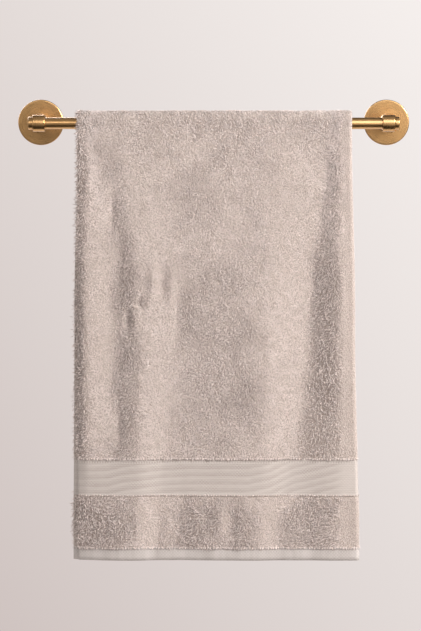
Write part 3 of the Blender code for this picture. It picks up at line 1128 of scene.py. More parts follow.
@dataclass
class Drape:
    """The towel's hung shape, worked out from the tables as a fine grid of its middle surface.

    Rows run from the front hem over the rail to the back hem. Columns run along the outer ply
    from the open side, round the folded side, and back along the under ply.
    """

    terry: float = 4.4 * MM
    ply_pitch: float = 5.0 * MM
    clearance: float = 0.5 * MM
    front_hem: float = -571.2 * MM
    back_hem: float = -562.0 * MM
    upper_z: float = -80.0 * MM
    middle_z: float = -260.0 * MM
    low_z: float = -570.0 * MM
    ripple_depth: float = 0.4 * MM
    ripple_length: float = 56.0 * MM
    ripple_start: float = -28.0 * MM
    ripple_top: float = -450.0 * MM
    ripple_full: float = -550.0 * MM
    under_shows: tuple = (0.0, 4.0, 6.5)
    finer: int = 4
    under_spans: int = 6
    fold_spans: int = 14
    bend_spans: int = 18
    front_step: float = 5.5 * MM
    back_step: float = 8.0 * MM
    zone_edge: float = 0.6 * MM
    rows: list = field(default_factory=list)

    def lines_at(self, folds: tuple, z: float) -> list:
        """Finds where each fold crosses a height.

        Args:
            folds: The drop's folds.
            z: The height.

        Returns:
            Each one's outer x and depth, its under x and depth, and its steps.
        """
        lines = []
        for fold in folds:
            x_stops = ((0.0, fold.x_rail), (self.middle_z, fold.x_middle), (self.low_z, fold.x_low))
            heights = (self.upper_z, self.middle_z, self.low_z)
            free = tuple(zip(heights, (fold.upper, fold.middle, fold.low)))
            x = at_height(x_stops, z) * MM
            depth = at_height(((0.0, fold.at_rail), *free), z) * MM
            under = at_height(((0.0, 0.0), *free), z) * fold.under_share * MM
            shows = 0.0
            if fold is folds[0]:
                stops = tuple(zip((0.0, self.middle_z, self.low_z), self.under_shows))
                shows = at_height(stops, z) * MM
            lines.append((x, depth, x - shows, under, fold.outer_spans))
        return lines

    def ripple(self, x: float, z: float) -> float:
        """The small waves that the cloth's end falls into.

        Args:
            x: The place across the towel.
            z: The height.

        Returns:
            How far a wave stands out there.
        """
        stops = ((self.ripple_top, 0.0), (self.ripple_full, self.ripple_depth))
        strength = at_height(stops, min(z, self.ripple_top))
        return strength * math.sin(2 * math.pi * (x - self.ripple_start) / self.ripple_length)

    def ply_line(self, xs: list, depths: list, spans: list, base: float, z: float) -> list:
        """One ply's middle line from the open side to the side fold.

        It lies level at each ridge and valley, and keeps its slope where one fold climbs into
        the next.

        Args:
            xs: Where the folds' lines are.
            depths: How far they stand out.
            spans: The number of steps after each.
            base: The ply's own depth.
            z: The level.

        Returns:
            The (x, depth) points.
        """
        climbs = [(b - a) / (d - c) for a, b, c, d in zip(depths, depths[1:], xs, xs[1:])]
        slopes = [climbs[0]]
        for before, after in zip(climbs, climbs[1:]):
            same_way = before * after > 0
            slopes.append(2 * before * after / (before + after) if same_way else 0.0)
        slopes.append(0.0)

        points = []
        for k, count in enumerate(spans):
            width = xs[k + 1] - xs[k]
            for i in range(count):
                share = i / count
                rest = 1.0 - share
                depth = depths[k] * (1 + 2 * share) * rest**2
                depth += depths[k + 1] * (1 + 2 * rest) * share**2
                depth += width * share * rest * (slopes[k] * rest - slopes[k + 1] * share)
                x = xs[k] + width * share
                points.append((x, base + depth + self.ripple(x, z)))
        return points

    def section(self, folds: tuple, z: float) -> list:
        """Works out the cloth's middle line at one level.

        Args:
            folds: The drop's folds.
            z: The level.

        Returns:
            The (x, depth) points, along the outer ply and back along the under ply.
        """
        lines = self.lines_at(folds, z)
        side = lines[-1]
        outer_base, under_base = self.terry / 2 + self.ply_pitch, self.terry / 2
        radius = (outer_base + side[1] - under_base - side[3]) / 2
        turn_x = side[0] - self.terry / 2 - radius
        turn_depth = under_base + side[3] + radius
        outer_xs = [line[0] for line in lines[:-1]] + [turn_x]
        under_xs = [line[2] for line in lines[:-1]] + [turn_x]
        outer_spans = [line[4] * self.finer for line in lines[:-1]]
        under_spans = [self.under_spans] * len(outer_spans)
        outer = self.ply_line(outer_xs, [line[1] for line in lines], outer_spans, outer_base, z)
        under = self.ply_line(under_xs, [line[3] for line in lines], under_spans, under_base, z)
        swell = self.ripple(turn_x, z)
        round_side = []
        for i in range(self.fold_spans + 1):
            turn = math.pi * i / self.fold_spans
            point = (turn_x + radius * math.sin(turn), turn_depth + radius * math.cos(turn) + swell)
            round_side.append(point)
        return outer + round_side + under[::-1]

    def levels(self, hem: float, step: float) -> list:
        """Lays out the rows of a drop, from its hem to the rail.

        Args:
            hem: The hem's height.
            step: About how far apart rows are.

        Returns:
            Each row's zone, thickness and height.
        """
        levels, low, edge = [], hem, self.zone_edge
        for stretch in STRETCHES:
            high = low + stretch.height if stretch.height else 0.0
            start = low + edge if levels else low
            stop = high - edge if stretch.height else high
            spans = max(3, round((stop - start) / step))
            for i in range(spans + 1):
                z = start + (stop - start) * i / spans
                levels.append((stretch.zone, stretch.cloth, z))
            low = high
        return levels

    def dimpled(self, x: float, z: float) -> float:
        """Adds up the small dents of the front.

        Args:
            x: The place across the towel.
            z: The height.

        Returns:
            How far they move the cloth outwards there.
        """
        total = 0.0
        for d in DIMPLES:
            aside, above = (x / MM - d.x) / d.width, (z / MM - d.z) / d.height
            total += d.depth * MM * math.exp(-aside * aside - above * above)
        return total

    def hang(self) -> None:
        """Works out all the rows."""
        reach = BAR_RADIUS + self.clearance
        pile = STRETCHES[1]
        for zone, cloth, z in self.levels(self.front_hem, self.front_step):
            flat = self.section(FRONT_FOLDS, z)
            points = [(x, -RAIL_STANDOFF - reach - d - self.dimpled(x, z), z) for x, d in flat]
            self.rows.append(Row(zone, cloth, np.array(points)))
        for i in range(1, self.bend_spans):
            turn = math.pi * i / self.bend_spans
            points = []
            for x, d in self.section(FRONT_FOLDS, 0.0):
                y = -RAIL_STANDOFF - (reach + d) * math.cos(turn)
                points.append((x, y, (reach + d) * math.sin(turn)))
            self.rows.append(Row(pile.zone, pile.cloth, np.array(points)))
        for zone, cloth, z in reversed(self.levels(self.back_hem, self.back_step)):
            flat = self.section(BACK_FOLDS, z)
            points = [(x, -RAIL_STANDOFF + reach + d, z) for x, d in flat]
            self.rows.append(Row(zone, cloth, np.array(points)))

    def grid(self) -> np.ndarray:
        """The middle surface as an array of rows, columns and coordinates."""
        return np.stack([row.points for row in self.rows])


@dataclass
class Surface:
    """The hung cloth's grid with its normals and its flat measure, read at any point."""

    points: np.ndarray
    normals: np.ndarray = field(init=False)
    across: np.ndarray = field(init=False)
    along: np.ndarray = field(init=False)

    def __post_init__(self) -> None:
        """Works out the normals and the flat distances."""
        du = np.gradient(self.points, axis=1)
        dv = np.gradient(self.points, axis=0)
        normals = np.cross(du, dv)
        self.normals = normals / np.linalg.norm(normals, axis=2, keepdims=True)
        step_u = np.linalg.norm(np.diff(self.points, axis=1), axis=2)
        step_v = np.linalg.norm(np.diff(self.points, axis=0), axis=2)
        self.across = np.concatenate([np.zeros((len(step_u), 1)), np.cumsum(step_u, 1)], 1)
        middle = step_v[:, step_v.shape[1] // 4]
        self.along = np.concatenate([[0.0], np.cumsum(middle)])

    @staticmethod
    def blend(table: np.ndarray, r: np.ndarray, c: np.ndarray) -> np.ndarray:
        """Reads a table of rows and columns between its entries.

        Args:
            table: The table, with vectors for entries.
            r: Rows, which may be fractions.
            c: Columns, likewise.

        Returns:
            The vectors there.
        """
        r0 = np.clip(np.floor(r).astype(int), 0, table.shape[0] - 2)
        c0 = np.clip(np.floor(c).astype(int), 0, table.shape[1] - 2)
        a, b = (r - r0)[:, None], (c - c0)[:, None]
        low = table[r0, c0] * (1 - b) + table[r0, c0 + 1] * b
        high = table[r0 + 1, c0] * (1 - b) + table[r0 + 1, c0 + 1] * b
        return low * (1 - a) + high * a


def unit(vectors: np.ndarray) -> np.ndarray:
    """Scales each vector to length one."""
    return vectors / np.maximum(np.linalg.norm(vectors, axis=1, keepdims=True), 1e-12)


def triangle_mesh(name: str, points: np.ndarray, corners: np.ndarray) -> bpy.types.Object:
    """Makes an object from triangles, shaded smooth.

    Args:
        name: The object's name.
        points: Its points.
        corners: Its triangles' corners, as rows of three.

    Returns:
        The object.
    """
    mesh = bpy.data.meshes.new(name)
    mesh.vertices.add(len(points))
    mesh.vertices.foreach_set("co", points.astype(np.float32).ravel())
    mesh.loops.add(corners.size)
    mesh.loops.foreach_set("vertex_index", corners.astype(np.int32).ravel())
    mesh.polygons.add(len(corners))
    mesh.polygons.foreach_set("loop_start", np.arange(0, corners.size, 3, dtype=np.int32))
    mesh.polygons.foreach_set("use_smooth", np.ones(len(corners), bool))
    mesh.update(calc_edges=True)
    piece = bpy.data.objects.new(name, mesh)
    bpy.context.scene.collection.objects.link(piece)
    return piece


def point_values(piece: bpy.types.Object, name: str, values: np.ndarray) -> None:
    """Stores one number a point for the finish to read."""
    made = piece.data.attributes.new(name, "FLOAT", "POINT")
    made.data.foreach_set("value", values.astype(np.float32))


class Patch(NamedTuple):
    """A stretch of pile: its rows and columns of the cloth's grid, its face and its pitch."""

    name: str
    rows: tuple
    columns: tuple
    ply: Ply
    pitch: float


class Roots(NamedTuple):
    """Where strands root: places, directions off the cloth, flat places, and how they lie.

    ruffle goes from 0, smoothed down, to 1, rough. turned goes to 1 round the folded side, and
    rim to 1 at the open side's edge.
    """

    base: np.ndarray
    normal: np.ndarray
    across: np.ndarray
    along: np.ndarray
    ruffle: np.ndarray
    turned: np.ndarray
    rim: np.ndarray


@dataclass
class Pile:
    """The terry pile: bent strands of yarn, pointed at both ends, that lie over in swirls.

    Attributes:
        surface: The cloth that it grows on.
        length: How far a strand reaches along the cloth.
        height: How far its middle stands off its root.
        width: Its radius at the middle.
        root: How far from the cloth's middle its root is.
        bend: How far it curves sideways, in shares of its length.
        stray: How far a strand's heading strays from its swirl's, in radians.
        swirls: The patterns that its heading follows, in radians.
        combed: How much less the pile swirls where it is ruffled.
        slant: How far it slants to the left there, in radians.
        settled: How much less it strays round the folded side.
        pitch: From strand to strand on the front.
        jitter: How far a strand is out of its row, in shares of the pitch.
        over_share: The share of strands that lie on top where the pile is ruffled.
        over_rise: How much higher those stand there, and how much lower the others.
        rises: How far strands stand off, in shares of height: where the pile is smooth, how
            much more where it is ruffled, and how much of that clumps and heaps make.
        rise_limits: The lowest and the highest that they stand, in the same shares.
        lengths, widths: The least and the most of each, in shares of the above.
        clumps, heaps: The patterns of its height.
        tone: Its middle tone, from 0, dark, to 1, light.
        over_painted_light: The painted light that makes the strands on top lighter where the pile
            is ruffled.
        under_painted_shade: The painted shade that makes the others darker there.
        tone_spread: How far tones vary everywhere, where it is ruffled, and at the rim.
        clump_painted_shading: How much clumps show where it is ruffled: painted light on the raised
            clumps and painted shade between them.
        rim_painted_shade: The painted shade that makes it darker at the open side's edge.
        turned_painted_shade: The painted shade that makes it darker round the folded side.
        flank_ruffle: How the cloth's lean to the left ruffles the pile, within flank_limits.
        lower_ruffle: How much more ruffled it is below the height lower_top.
        side_start: Where the folded side starts along X, with side_width from there to its end.
        turned_calm: How much smoother it is there.
        rim_width: How far the open side's edge reaches in, with rim_ruffle its ruffling.
        hidden_width: How much of the under ply's edge is combed flat.
        drifts: The patterns of how ruffled it is, around calm.
        most: The most strands that one piece holds.
        seed: Fixes what is drawn.
        middle, tip: Where a strand's middle and tip are: along it, off the cloth and aside.
    """

    surface: Surface
    length: float = 5.0 * MM
    height: float = 1.00 * MM
    width: float = 0.42 * MM
    root: float = 0.70 * MM
    bend: float = 0.10
    stray: float = 0.6
    swirls: tuple = (Noise(9 * MM, 5, 2.0), Noise(31 * MM, 6, 1.7))
    combed: float = 0.55
    slant: float = 0.70
    settled: float = 0.8
    pitch: float = 1.52 * MM
    jitter: float = 0.48
    over_share: float = 0.5
    over_rise: float = 0.3
    rises: tuple = (0.54, 1.25, 0.70, 0.30)
    rise_limits: tuple = (0.35, 2.6)
    lengths: tuple = (0.65, 1.35)
    widths: tuple = (0.75, 1.25)
    clumps: Noise = Noise(6 * MM, 7, 1.0)
    heaps: Noise = Noise(17 * MM, 8, 1.0)
    tone: float = 0.66
    over_painted_light: float = 0.28
    under_painted_shade: float = -0.42
    tone_spread: tuple = (0.03, 0.36, 0.60)
    clump_painted_shading: float = 0.16
    rim_painted_shade: float = 0.22
    turned_painted_shade: float = 0.10
    flank_ruffle: float = 4.5
    flank_limits: tuple = (-0.35, 0.25)
    lower_ruffle: float = 0.35
    lower_top: float = -0.50
    side_start: float = 0.162
    side_width: float = 10 * MM
    turned_calm: float = 0.9
    rim_width: float = 7 * MM
    rim_ruffle: float = 0.7
    hidden_width: float = 30 * MM
    calm: float = 0.14
    drifts: tuple = (Noise(38 * MM, 9, 0.18), Noise(13 * MM, 10, 0.16))
    most: int = 32000
    seed: int = 11
    middle: tuple = (0.42, 1.0, 0.12)
    tip: tuple = (1.0, 0.62, 1.0)

    def grow(self, patch: Patch) -> list:
        """Grows one patch, in as many pieces as its size needs.

        Args:
            patch: Where and how densely.

        Returns:
            The pieces.
        """
        rng = np.random.default_rng(self.seed + patch.rows[0] * 7 + patch.columns[0])
        r, c = self.spots(patch, rng)
        pieces = []
        parts = math.ceil(len(r) / self.most)
        for i in range(parts):
            part = slice(len(r) * i // parts, len(r) * (i + 1) // parts)
            name = patch.name if parts == 1 else f"{patch.name}_{i + 1}"
            roots = self.roots(patch.ply, r[part], c[part])
            pieces.append(self.strands(name, roots, patch.pitch / self.pitch, rng))
        return pieces

    def spots(self, patch: Patch, rng: np.random.Generator) -> tuple:
        """Spreads strands over a patch by their pitch, in rows, each a little out of place.

        Args:
            patch: Where and how densely.
            rng: Draws how far each is out of place.

        Returns:
            The strands' rows and columns of the grid, as fractions.
        """
        low_row, high_row = patch.rows
        low_column, high_column = patch.columns
        along = self.surface.along
        across = self.surface.across[(low_row + high_row) // 2]
        tall = along[high_row] - along[low_row]
        wide = across[high_column] - across[low_column]
        count_v, count_u = max(1, round(tall / patch.pitch)), max(1, round(wide / patch.pitch))
        v, u = np.meshgrid(np.arange(count_v), np.arange(count_u), indexing="ij")
        v = v.ravel() + 0.5 + rng.uniform(-self.jitter, self.jitter, v.size)
        u = u.ravel() + 0.5 + rng.uniform(-self.jitter, self.jitter, u.size)
        at_v = along[low_row] + v * tall / count_v
        at_u = across[low_column] + u * wide / count_u
        r = np.interp(at_v, along, np.arange(len(along)))
        c = np.interp(at_u, across, np.arange(len(across)))
        return r, c

    def roots(self, ply: Ply, r: np.ndarray, c: np.ndarray) -> Roots:
        """Reads the cloth at grid places.

        The pile is smoothed down on the ridges' right flanks and round the folded side, and
        ruffled in the valleys, in the lower zone and along the open side.

        Args:
            ply: The face that the strands grow on.
            r: Rows of the grid.
            c: Columns of the grid.

        Returns:
            The roots.
        """
        s = self.surface
        base = s.blend(s.points, r, c)
        normal = unit(s.blend(s.normals, r, c)) * ply.value
        u = s.blend(s.across[:, :, None], r, c)[:, 0]
        v = np.interp(r, np.arange(len(s.along)), s.along)
        leftward = -self.flank_ruffle * np.clip(normal[:, 0], *self.flank_limits)
        low = self.lower_ruffle * (base[:, 2] < self.lower_top)
        turned = ease(0.0, 1.0, (base[:, 0] - self.side_start) / self.side_width)
        rim = np.exp(-((u / self.rim_width) ** 2))
        hidden = 1.0 * (u > s.across[0, -1] - self.hidden_width)
        drift = sum(noise.read(u, v) for noise in self.drifts)
        ruffle = self.calm + leftward + low + drift - hidden
        ruffle = ruffle + self.rim_ruffle * rim - self.turned_calm * turned
        return Roots(base, normal, u, v, np.clip(ruffle, 0.0, 1.0), turned, rim)

    def headings(self, at: Roots, rng: np.random.Generator) -> np.ndarray:
        """Draws which way each strand lies: down the cloth in swirls, or combed to the left.

        Args:
            at: The roots.
            rng: Draws how far each strays.

        Returns:
            The directions, along the cloth.
        """
        side = unit(np.cross(at.normal, (0.0, 0.0, 1.0)) + np.array([1e-4, 0, 0]))
        up = unit(np.cross(side, at.normal))
        swirl = sum(noise.read(at.across, at.along) for noise in self.swirls)
        swirl = swirl * (1.0 - self.combed * at.ruffle) + self.slant * at.ruffle
        stray = rng.normal(0.0, self.stray, len(swirl))
        turn = (swirl + stray) * (1 - self.settled * at.turned) - math.pi / 2
        return side * np.cos(turn)[:, None] + up * np.sin(turn)[:, None]

    @staticmethod
    def spindles(ends: list, normal: np.ndarray, width: np.ndarray, start: np.ndarray) -> tuple:
        """Shapes strands that have three sides and are pointed at both ends.

        Args:
            ends: Their roots, middles and tips.
            normal: Directions off the cloth.
            width: Their radii at the middle.
            start: The way from the middle to its first corner, in radians.

        Returns:
            The points, five a strand, and the triangles' corners.
        """
        root, middle, tip = ends
        n = len(root)
        heading = unit(tip - root)
        flank = unit(np.cross(heading, normal) + 1e-6)
        ridge = np.cross(flank, heading)
        points = np.empty((n, 5, 3))
        points[:, 0], points[:, 4] = root, tip
        faces = []
        for k in range(3):
            angle = start + 2 * math.pi * k / 3
            ring = flank * np.cos(angle)[:, None] + ridge * np.sin(angle)[:, None]
            points[:, 1 + k] = middle + ring * width[:, None]
            a, b = 1 + k, 1 + (k + 1) % 3
            faces += [(0, b, a), (4, a, b)]
        corners = (np.array(faces)[None] + 5 * np.arange(n)[:, None, None]).reshape(-1, 3)
        return points.reshape(-1, 3), corners

    def tones(
        self, at: Roots, over: np.ndarray, clump: np.ndarray, rng: np.random.Generator
    ) -> np.ndarray:
        """Draws the strands' tones: each strand's own, drawn at random, with painted light and
        shade laid over them.

        Args:
            at: The roots.
            over: True for the strands on top.
            clump: The clumps' pattern at the roots.
            rng: Draws how far each varies.

        Returns:
            The tones, from 0, dark, to 1, light.
        """
        # Where the pile is ruffled, the strands on top get painted light and the others get painted
        # shade.
        layer = at.ruffle * np.where(over, self.over_painted_light, self.under_painted_shade)
        least, ruffled, at_rim = self.tone_spread
        spread = least + ruffled * at.ruffle + at_rim * at.rim
        tone = self.tone + layer + spread * rng.uniform(-1, 1, len(over))
        # Raised clumps get painted light and the gaps between them get painted shade. The open
        # side's edge gets painted shade.
        tone = tone + self.clump_painted_shading * at.ruffle * clump - self.rim_painted_shade * at.rim**2
        # Painted shade round the folded side.
        return np.clip(tone - self.turned_painted_shade * at.turned, 0.0, 1.0)

    def strands(
        self, name: str, at: Roots, coarse: float, rng: np.random.Generator
    ) -> bpy.types.Object:
        """Builds the strands of given roots as one mesh.

        Args:
            name: The piece's name.
            at: The roots.
            coarse: How much wider apart than the finest they stand.
            rng: Draws what varies.

        Returns:
            The joined strands.
        """
        n = len(at.base)
        lean = self.headings(at, rng)
        aside = np.cross(at.normal, lean)
        clump = self.clumps.read(at.across, at.along)
        heap = self.heaps.read(at.across, at.along)
        over = rng.random(n) < self.over_share
        smoothed, ruffled, by_clump, by_heap = self.rises
        swell = smoothed + at.ruffle * (ruffled + by_clump * clump + by_heap * heap)
        swell = swell * (1.0 + np.where(over, self.over_rise, -self.over_rise) * at.ruffle)
        spread = 0.10 + 0.30 * at.ruffle
        length = self.length * rng.uniform(*self.lengths, n) * coarse**0.5
        length = length * (1.0 - 0.3 * at.turned)
        rise = np.clip(swell * (1 + spread * rng.uniform(-1, 1, n)), *self.rise_limits)
        height = self.height * rise
        width = self.width * rng.uniform(*self.widths, n) * coarse**0.8 * (1.0 + 0.40 * at.rim)
        bend = self.bend * rng.normal(0.0, 1.0, n)

        ends = [at.base + at.normal * self.root]
        for reach, lift, curve in (self.middle, self.tip):
            step = lean * (length * reach)[:, None] + at.normal * (height * lift)[:, None]
            ends.append(ends[0] + step + aside * (length * bend * curve)[:, None])
        start = rng.uniform(0.0, 2 * math.pi, n)
        points, corners = self.spindles(ends, at.normal, width, start)
        piece = triangle_mesh(name, points, corners)
        point_values(piece, "tuft_tone_and_shade", np.repeat(self.tones(at, over, clump, rng), 5))
        # Painted shade at each strand's root, deeper where the pile is ruffled.
        is_root = np.array([1.0, 0.0, 0.0, 0.0, 0.0])
        light = 1.0 - is_root[None, :] * (0.15 + 0.85 * at.ruffle)[:, None]
        point_values(piece, "tuft_root_shading", light.ravel())
        return piece


@dataclass
class LoopRow:
    """The last row of terry loops along a level edge of the pile, leaning over what follows.

    Attributes:
        pitch: From one loop to the next.
        half_width: From a loop's middle to its legs.
        reach: How far it leans out.
        yarn: The yarn's radius.
        lift: How much of its lean is away from the cloth.
        root: How far from the cloth's middle its feet are.
        rings, sides: The yarn's rings along a loop and their corners.
    """

    surface: Surface
    pitch: float = 3.4 * MM
    half_width: float = 0.62 * MM
    reach: float = 2.9 * MM
    yarn: float = 0.45 * MM
    lift: float = 0.8
    root: float = 0.9 * MM
    rings: int = 6
    sides: int = 4
    seed: int = 23

    def build(self, name: str, row: int, toward: int, last_column: int) -> bpy.types.Object:
        """Makes one row of loops.

        Args:
            name: The piece's name.
            row: The grid row that the loops stand on.
            toward: 1 where they lean to the rows that follow, -1 to those before.
            last_column: Where the row ends.

        Returns:
            The joined loops.
        """
        s = self.surface
        rng = np.random.default_rng(self.seed + row)
        across = s.across[row]
        n = int(across[last_column] / self.pitch)
        at_u = (np.arange(n) + 0.5 + rng.uniform(-0.18, 0.18, n)) * self.pitch
        c = np.interp(at_u, across, np.arange(len(across)))
        r = np.full(n, row - 0.15 * toward)
        base = s.blend(s.points, r, c)
        normal = unit(s.blend(s.normals, r, c))
        side = unit(np.cross(normal, (0.0, 0.0, 1.0)))
        ahead = s.blend(s.points, r + 0.4, c) - s.blend(s.points, r - 0.4, c)
        ahead = unit(ahead - normal * np.sum(ahead * normal, 1, keepdims=True)) * toward
        out = unit(ahead + normal * self.lift + side * rng.uniform(-0.35, 0.35, (n, 1)))
        reach = self.reach * rng.uniform(0.65, 1.3, n)
        wide = self.half_width * rng.uniform(0.8, 1.2, n)
        root = base + normal * self.root
        face = np.cross(side, out)
        points = np.empty((n, self.rings, self.sides, 3))
        for i in range(self.rings):
            turn = math.pi * i / (self.rings - 1)
            middle = root + side * (wide * math.cos(turn))[:, None]
            middle = middle + out * (reach * math.sin(turn))[:, None]
            spoke = unit(side * math.cos(turn) + out * math.sin(turn))
            for k in range(self.sides):
                angle = 2 * math.pi * k / self.sides
                ring = spoke * math.cos(angle) + face * math.sin(angle)
                points[:, i, k] = middle + ring * self.yarn
        faces = []
        for i in range(self.rings - 1):
            for k in range(self.sides):
                a, b = i * self.sides + k, i * self.sides + (k + 1) % self.sides
                faces += [(a, b, b + self.sides), (a, b + self.sides, a + self.sides)]
        end = (self.rings - 1) * self.sides
        for k in range(1, self.sides - 1):
            faces += [(0, k + 1, k), (end, end + k, end + k + 1)]
        size = self.rings * self.sides
        corners = (np.array(faces)[None] + size * np.arange(n)[:, None, None]).reshape(-1, 3)
        piece = triangle_mesh(name, points.reshape(-1, 3), corners)
        point_values(piece, "tuft_tone_and_shade", np.repeat(rng.uniform(0.45, 1.2, n), size))
        # Painted shade at each loop's feet, lighter towards its top.
        arch = np.repeat(np.sin(np.linspace(0.0, math.pi, self.rings)), self.sides)
        point_values(piece, "tuft_root_shading", np.tile(arch, n))
        return piece


@dataclass
class Towel:
    """The folded towel: its woven sheet and the pile that grows on it.

    Attributes:
        flat: The cut's width and length, in metres; not used.
        edge_thinning: The thickness at the cloth's sides, in shares of the rest.
        stripe_pitch: Of the border band's broad stripes.
        stripe_shifts: The (x, rise) stops of their sway, in millimetres.
        stripe_depths: The (x, depth) stops of how strongly they show, x in millimetres.
        back_pitch: From strand to strand on the back.
        hidden_pitch: The same on the under ply and within the fold.
        rim_columns: How many of the under ply's columns bear pile, at the open side.
        inner_columns: How many of the outer ply's columns bear pile within, at the open side.
        least_rows: The fewest rows between plies that bear pile.
    """

    flat: tuple = (0.72, 1.18)
    edge_thinning: float = 0.6
    stripe_pitch: float = 10.1 * MM
    stripe_shifts: tuple = (
        (-176.0, 0.0), (-140.0, 1.0), (-118.0, 6.0), (-70.0, 12.0), (-30.0, 14.0),
        (45.0, 14.0), (72.0, 20.0), (108.0, 36.0), (112.0, 36.0), (170.0, 52.0),
    )
    stripe_depths: tuple = (
        (-176.0, 0.6), (-150.0, 1.0), (40.0, 0.9), (90.0, 0.8), (158.0, 1.0), (170.0, 0.1),
        (190.0, 0.0),
    )
    back_pitch: float = 2.9 * MM
    hidden_pitch: float = 2.0 * MM
    rim_columns: int = 5
    inner_columns: int = 4
    least_rows: int = 8
    quick_coarser: float = 1.7
    drape: Drape = field(default_factory=Drape)

    def build(self) -> None:
        """Hangs the sheet, grows the pile and hides the towel's solid."""
        self.drape.hang()
        surface = Surface(self.drape.grid())
        sheet = self.sheet(surface)
        pieces = self.pile(surface)
        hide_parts("towel")

    def stripes(self, surface: Surface) -> tuple:
        """Where the border band's broad stripes fall, and how strongly.

        They run level in the middle, droop at the open side and climb towards the folded side.

        Args:
            surface: The hung cloth.

        Returns:
            Each grid point's place in stripes, and the stripes' depth there.
        """
        x = surface.points[:, :, 0]
        z = surface.points[:, :, 2]
        known_x, shift = np.array(self.stripe_shifts).T * MM
        place = (z - np.interp(x, known_x, shift)) / self.stripe_pitch
        known_x, share = np.array(self.stripe_depths).T
        depth = np.interp(x, known_x * MM, share)
        return place, depth

    def sheet(self, surface: Surface) -> bpy.types.Object:
        """Builds the woven sheet as a grid that Solidify gives its thickness by zone.

        Args:
            surface: The hung cloth.

        Returns:
            The dressed sheet.
        """
        rows, columns, _ = surface.points.shape
        deselect_all()
        spans = {"x_subdivisions": columns - 1, "y_subdivisions": rows - 1}
        bpy.ops.mesh.primitive_grid_add(**spans, size=1.0)
        sheet = bpy.context.object
        sheet.name = "towel_sheet"
        mesh = sheet.data
        mesh.vertices.foreach_set("co", surface.points.astype(np.float32).ravel())
        along = np.broadcast_to(surface.along[:, None], (rows, columns))
        flat = np.stack([surface.across, along], -1).reshape(-1, 2)
        corners = np.empty(len(mesh.loops), np.int32)
        mesh.loops.foreach_get("vertex_index", corners)
        while mesh.uv_layers:
            mesh.uv_layers.remove(mesh.uv_layers[0])
        cloth_map = mesh.uv_layers.new(name="cloth").data
        cloth_map.foreach_set("uv", flat[corners].astype(np.float32).ravel())
        zones = [row.zone.value for row in self.drape.rows]
        kinds = np.repeat([max(a, b) for a, b in zip(zones, zones[1:])], columns - 1)
        mesh.polygons.foreach_set("material_index", kinds.astype(np.int32))
        mesh.polygons.foreach_set("use_smooth", np.ones(len(mesh.polygons), bool))
        place, depth = self.stripes(surface)
        point_values(sheet, "stripe_place", place.ravel())
        point_values(sheet, "stripe_depth", depth.ravel())
        point_values(sheet, "zone_height", np.repeat(self.zone_heights(), columns))
        mesh.update()
        self.thicken(sheet, columns)
        finishes = (GroundCloth(), BandWeave(), HemTwill())
        dress(sheet, Slot.TERRY, *(finish.material() for finish in finishes))
        log.info("sheet: %d by %d grid, %d faces", rows, columns, len(mesh.polygons))
        return sheet

    def thicken(self, sheet: bpy.types.Object, columns: int) -> None:
        """Gives the sheet its thickness by zone, thinner at the cloth's sides.

        Args:
            sheet: The sheet, active and selected.
            columns: The grid's columns.
        """
        thickest = max(row.cloth for row in self.drape.rows)
        group = sheet.vertex_groups.new(name="thickness")
        for r, row in enumerate(self.drape.rows):
            inside = list(range(r * columns + 1, (r + 1) * columns - 1))
            group.add(inside, row.cloth / thickest, "REPLACE")
            sides = [r * columns, (r + 1) * columns - 1]
            group.add(sides, self.edge_thinning * row.cloth / thickest, "REPLACE")
        solid = sheet.modifiers.new("cloth", "SOLIDIFY")
        solid.thickness = thickest
        solid.offset = 0.0
        solid.vertex_group = "thickness"
        bpy.ops.object.modifier_apply(modifier="cloth")

    def zone_heights(self) -> np.ndarray:
        """Works out how high each row is within its zone.

        Returns:
            The heights, from 0 at the end nearer the hem to 1.
        """
        rows = self.drape.rows
        heights = np.zeros(len(rows))
        start = 0
        for i in range(1, len(rows) + 1):
            if i == len(rows) or rows[i].zone is not rows[start].zone:
                z = np.array([row.points[0, 2] for row in rows[start:i]])
                heights[start:i] = (z - z.min()) / max(z.max() - z.min(), MM)
                start = i
        return heights

    def runs(self) -> list:
        """Finds the grid's stretches of pile.

        Returns:
            The (first row, last row) pairs, front hem to back hem.
        """
        zones = [row.zone for row in self.drape.rows]
        runs, start = [], None
        for i, zone in enumerate(zones + [None]):
            if zone is Zone.PILE and start is None:
                start = i
            if zone is not Zone.PILE and start is not None:
                runs.append((start, i - 1))
                start = None
        return runs

    def fold_end(self) -> int:
        """The column where the side fold ends and the under ply starts."""
        outer_end = sum(fold.outer_spans for fold in FRONT_FOLDS) * self.drape.finer
        return outer_end + self.drape.fold_spans

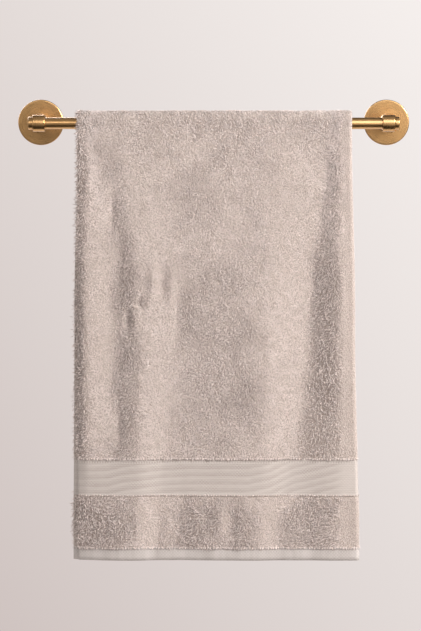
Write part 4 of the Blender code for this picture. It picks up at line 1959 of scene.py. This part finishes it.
    def patches(self, last: int, fine: float) -> list:
        """Lays out the pile: fine where the camera looks, coarser behind and within.

        Args:
            last: The grid's last column.
            fine: The pitch where the camera looks.

        Returns:
            The patches, front hem to back hem.
        """
        outer, rim = (0, self.fold_end()), (last - self.rim_columns, last)
        inner, hidden = (0, self.inner_columns), self.hidden_pitch
        front_rows = sum(1 for row in self.drape.rows if row.points[0, 1] < -RAIL_STANDOFF)
        top = front_rows + self.drape.bend_spans // 3
        patches = []
        for number, (low, high) in enumerate(self.runs()):
            rows = (low, high)
            if low < front_rows < high:
                patches.append(Patch("pile_upper", (low, top), outer, Ply.OUTER, fine))
                patches.append(Patch("pile_back", (top, high), outer, Ply.OUTER, self.back_pitch))
            elif low < front_rows:
                patches.append(Patch("pile_lower", rows, outer, Ply.OUTER, fine))
            else:
                patches.append(Patch("pile_back_lower", rows, outer, Ply.OUTER, self.back_pitch))
            if high - low > self.least_rows:
                patches.append(Patch(f"pile_under_{number}", rows, rim, Ply.OUTER, hidden))
                patches.append(Patch(f"pile_facing_{number}", rows, rim, Ply.INNER, hidden))
                patches.append(Patch(f"pile_within_{number}", rows, inner, Ply.INNER, hidden))
        return patches

    def pile(self, surface: Surface) -> list:
        """Makes the rows of loops and all the pile.

        Args:
            surface: The hung cloth.

        Returns:
            The dressed pieces.
        """
        coarser = 1.0
        yarn = TerryYarn().material()
        loops, pile = LoopRow(surface), Pile(surface)
        pieces = []
        for number, (low, high) in enumerate(self.runs()):
            for row, toward in ((low, -1), (high, 1)):
                name = f"loop_row_{number}_{'start' if toward < 0 else 'end'}"
                pieces.append(loops.build(name, row, toward, self.fold_end()))
        for patch in self.patches(surface.points.shape[1] - 1, pile.pitch):
            pieces += pile.grow(patch._replace(pitch=patch.pitch * coarser))
        for piece in pieces:
            dress(piece, Slot.TERRY, yarn)
            log.info("%s: %d faces", piece.name, len(piece.data.polygons))
        return pieces


def main() -> None:
    """Builds the studio, the rail and the towel in order."""
    logging.basicConfig(level=logging.INFO, format="%(message)s")
    bpy.context.scene.view_settings.view_transform = "Standard"
    Studio().build()
    RailFittings().build()
    Towel().build()


if __name__ == "__main__":
    main()
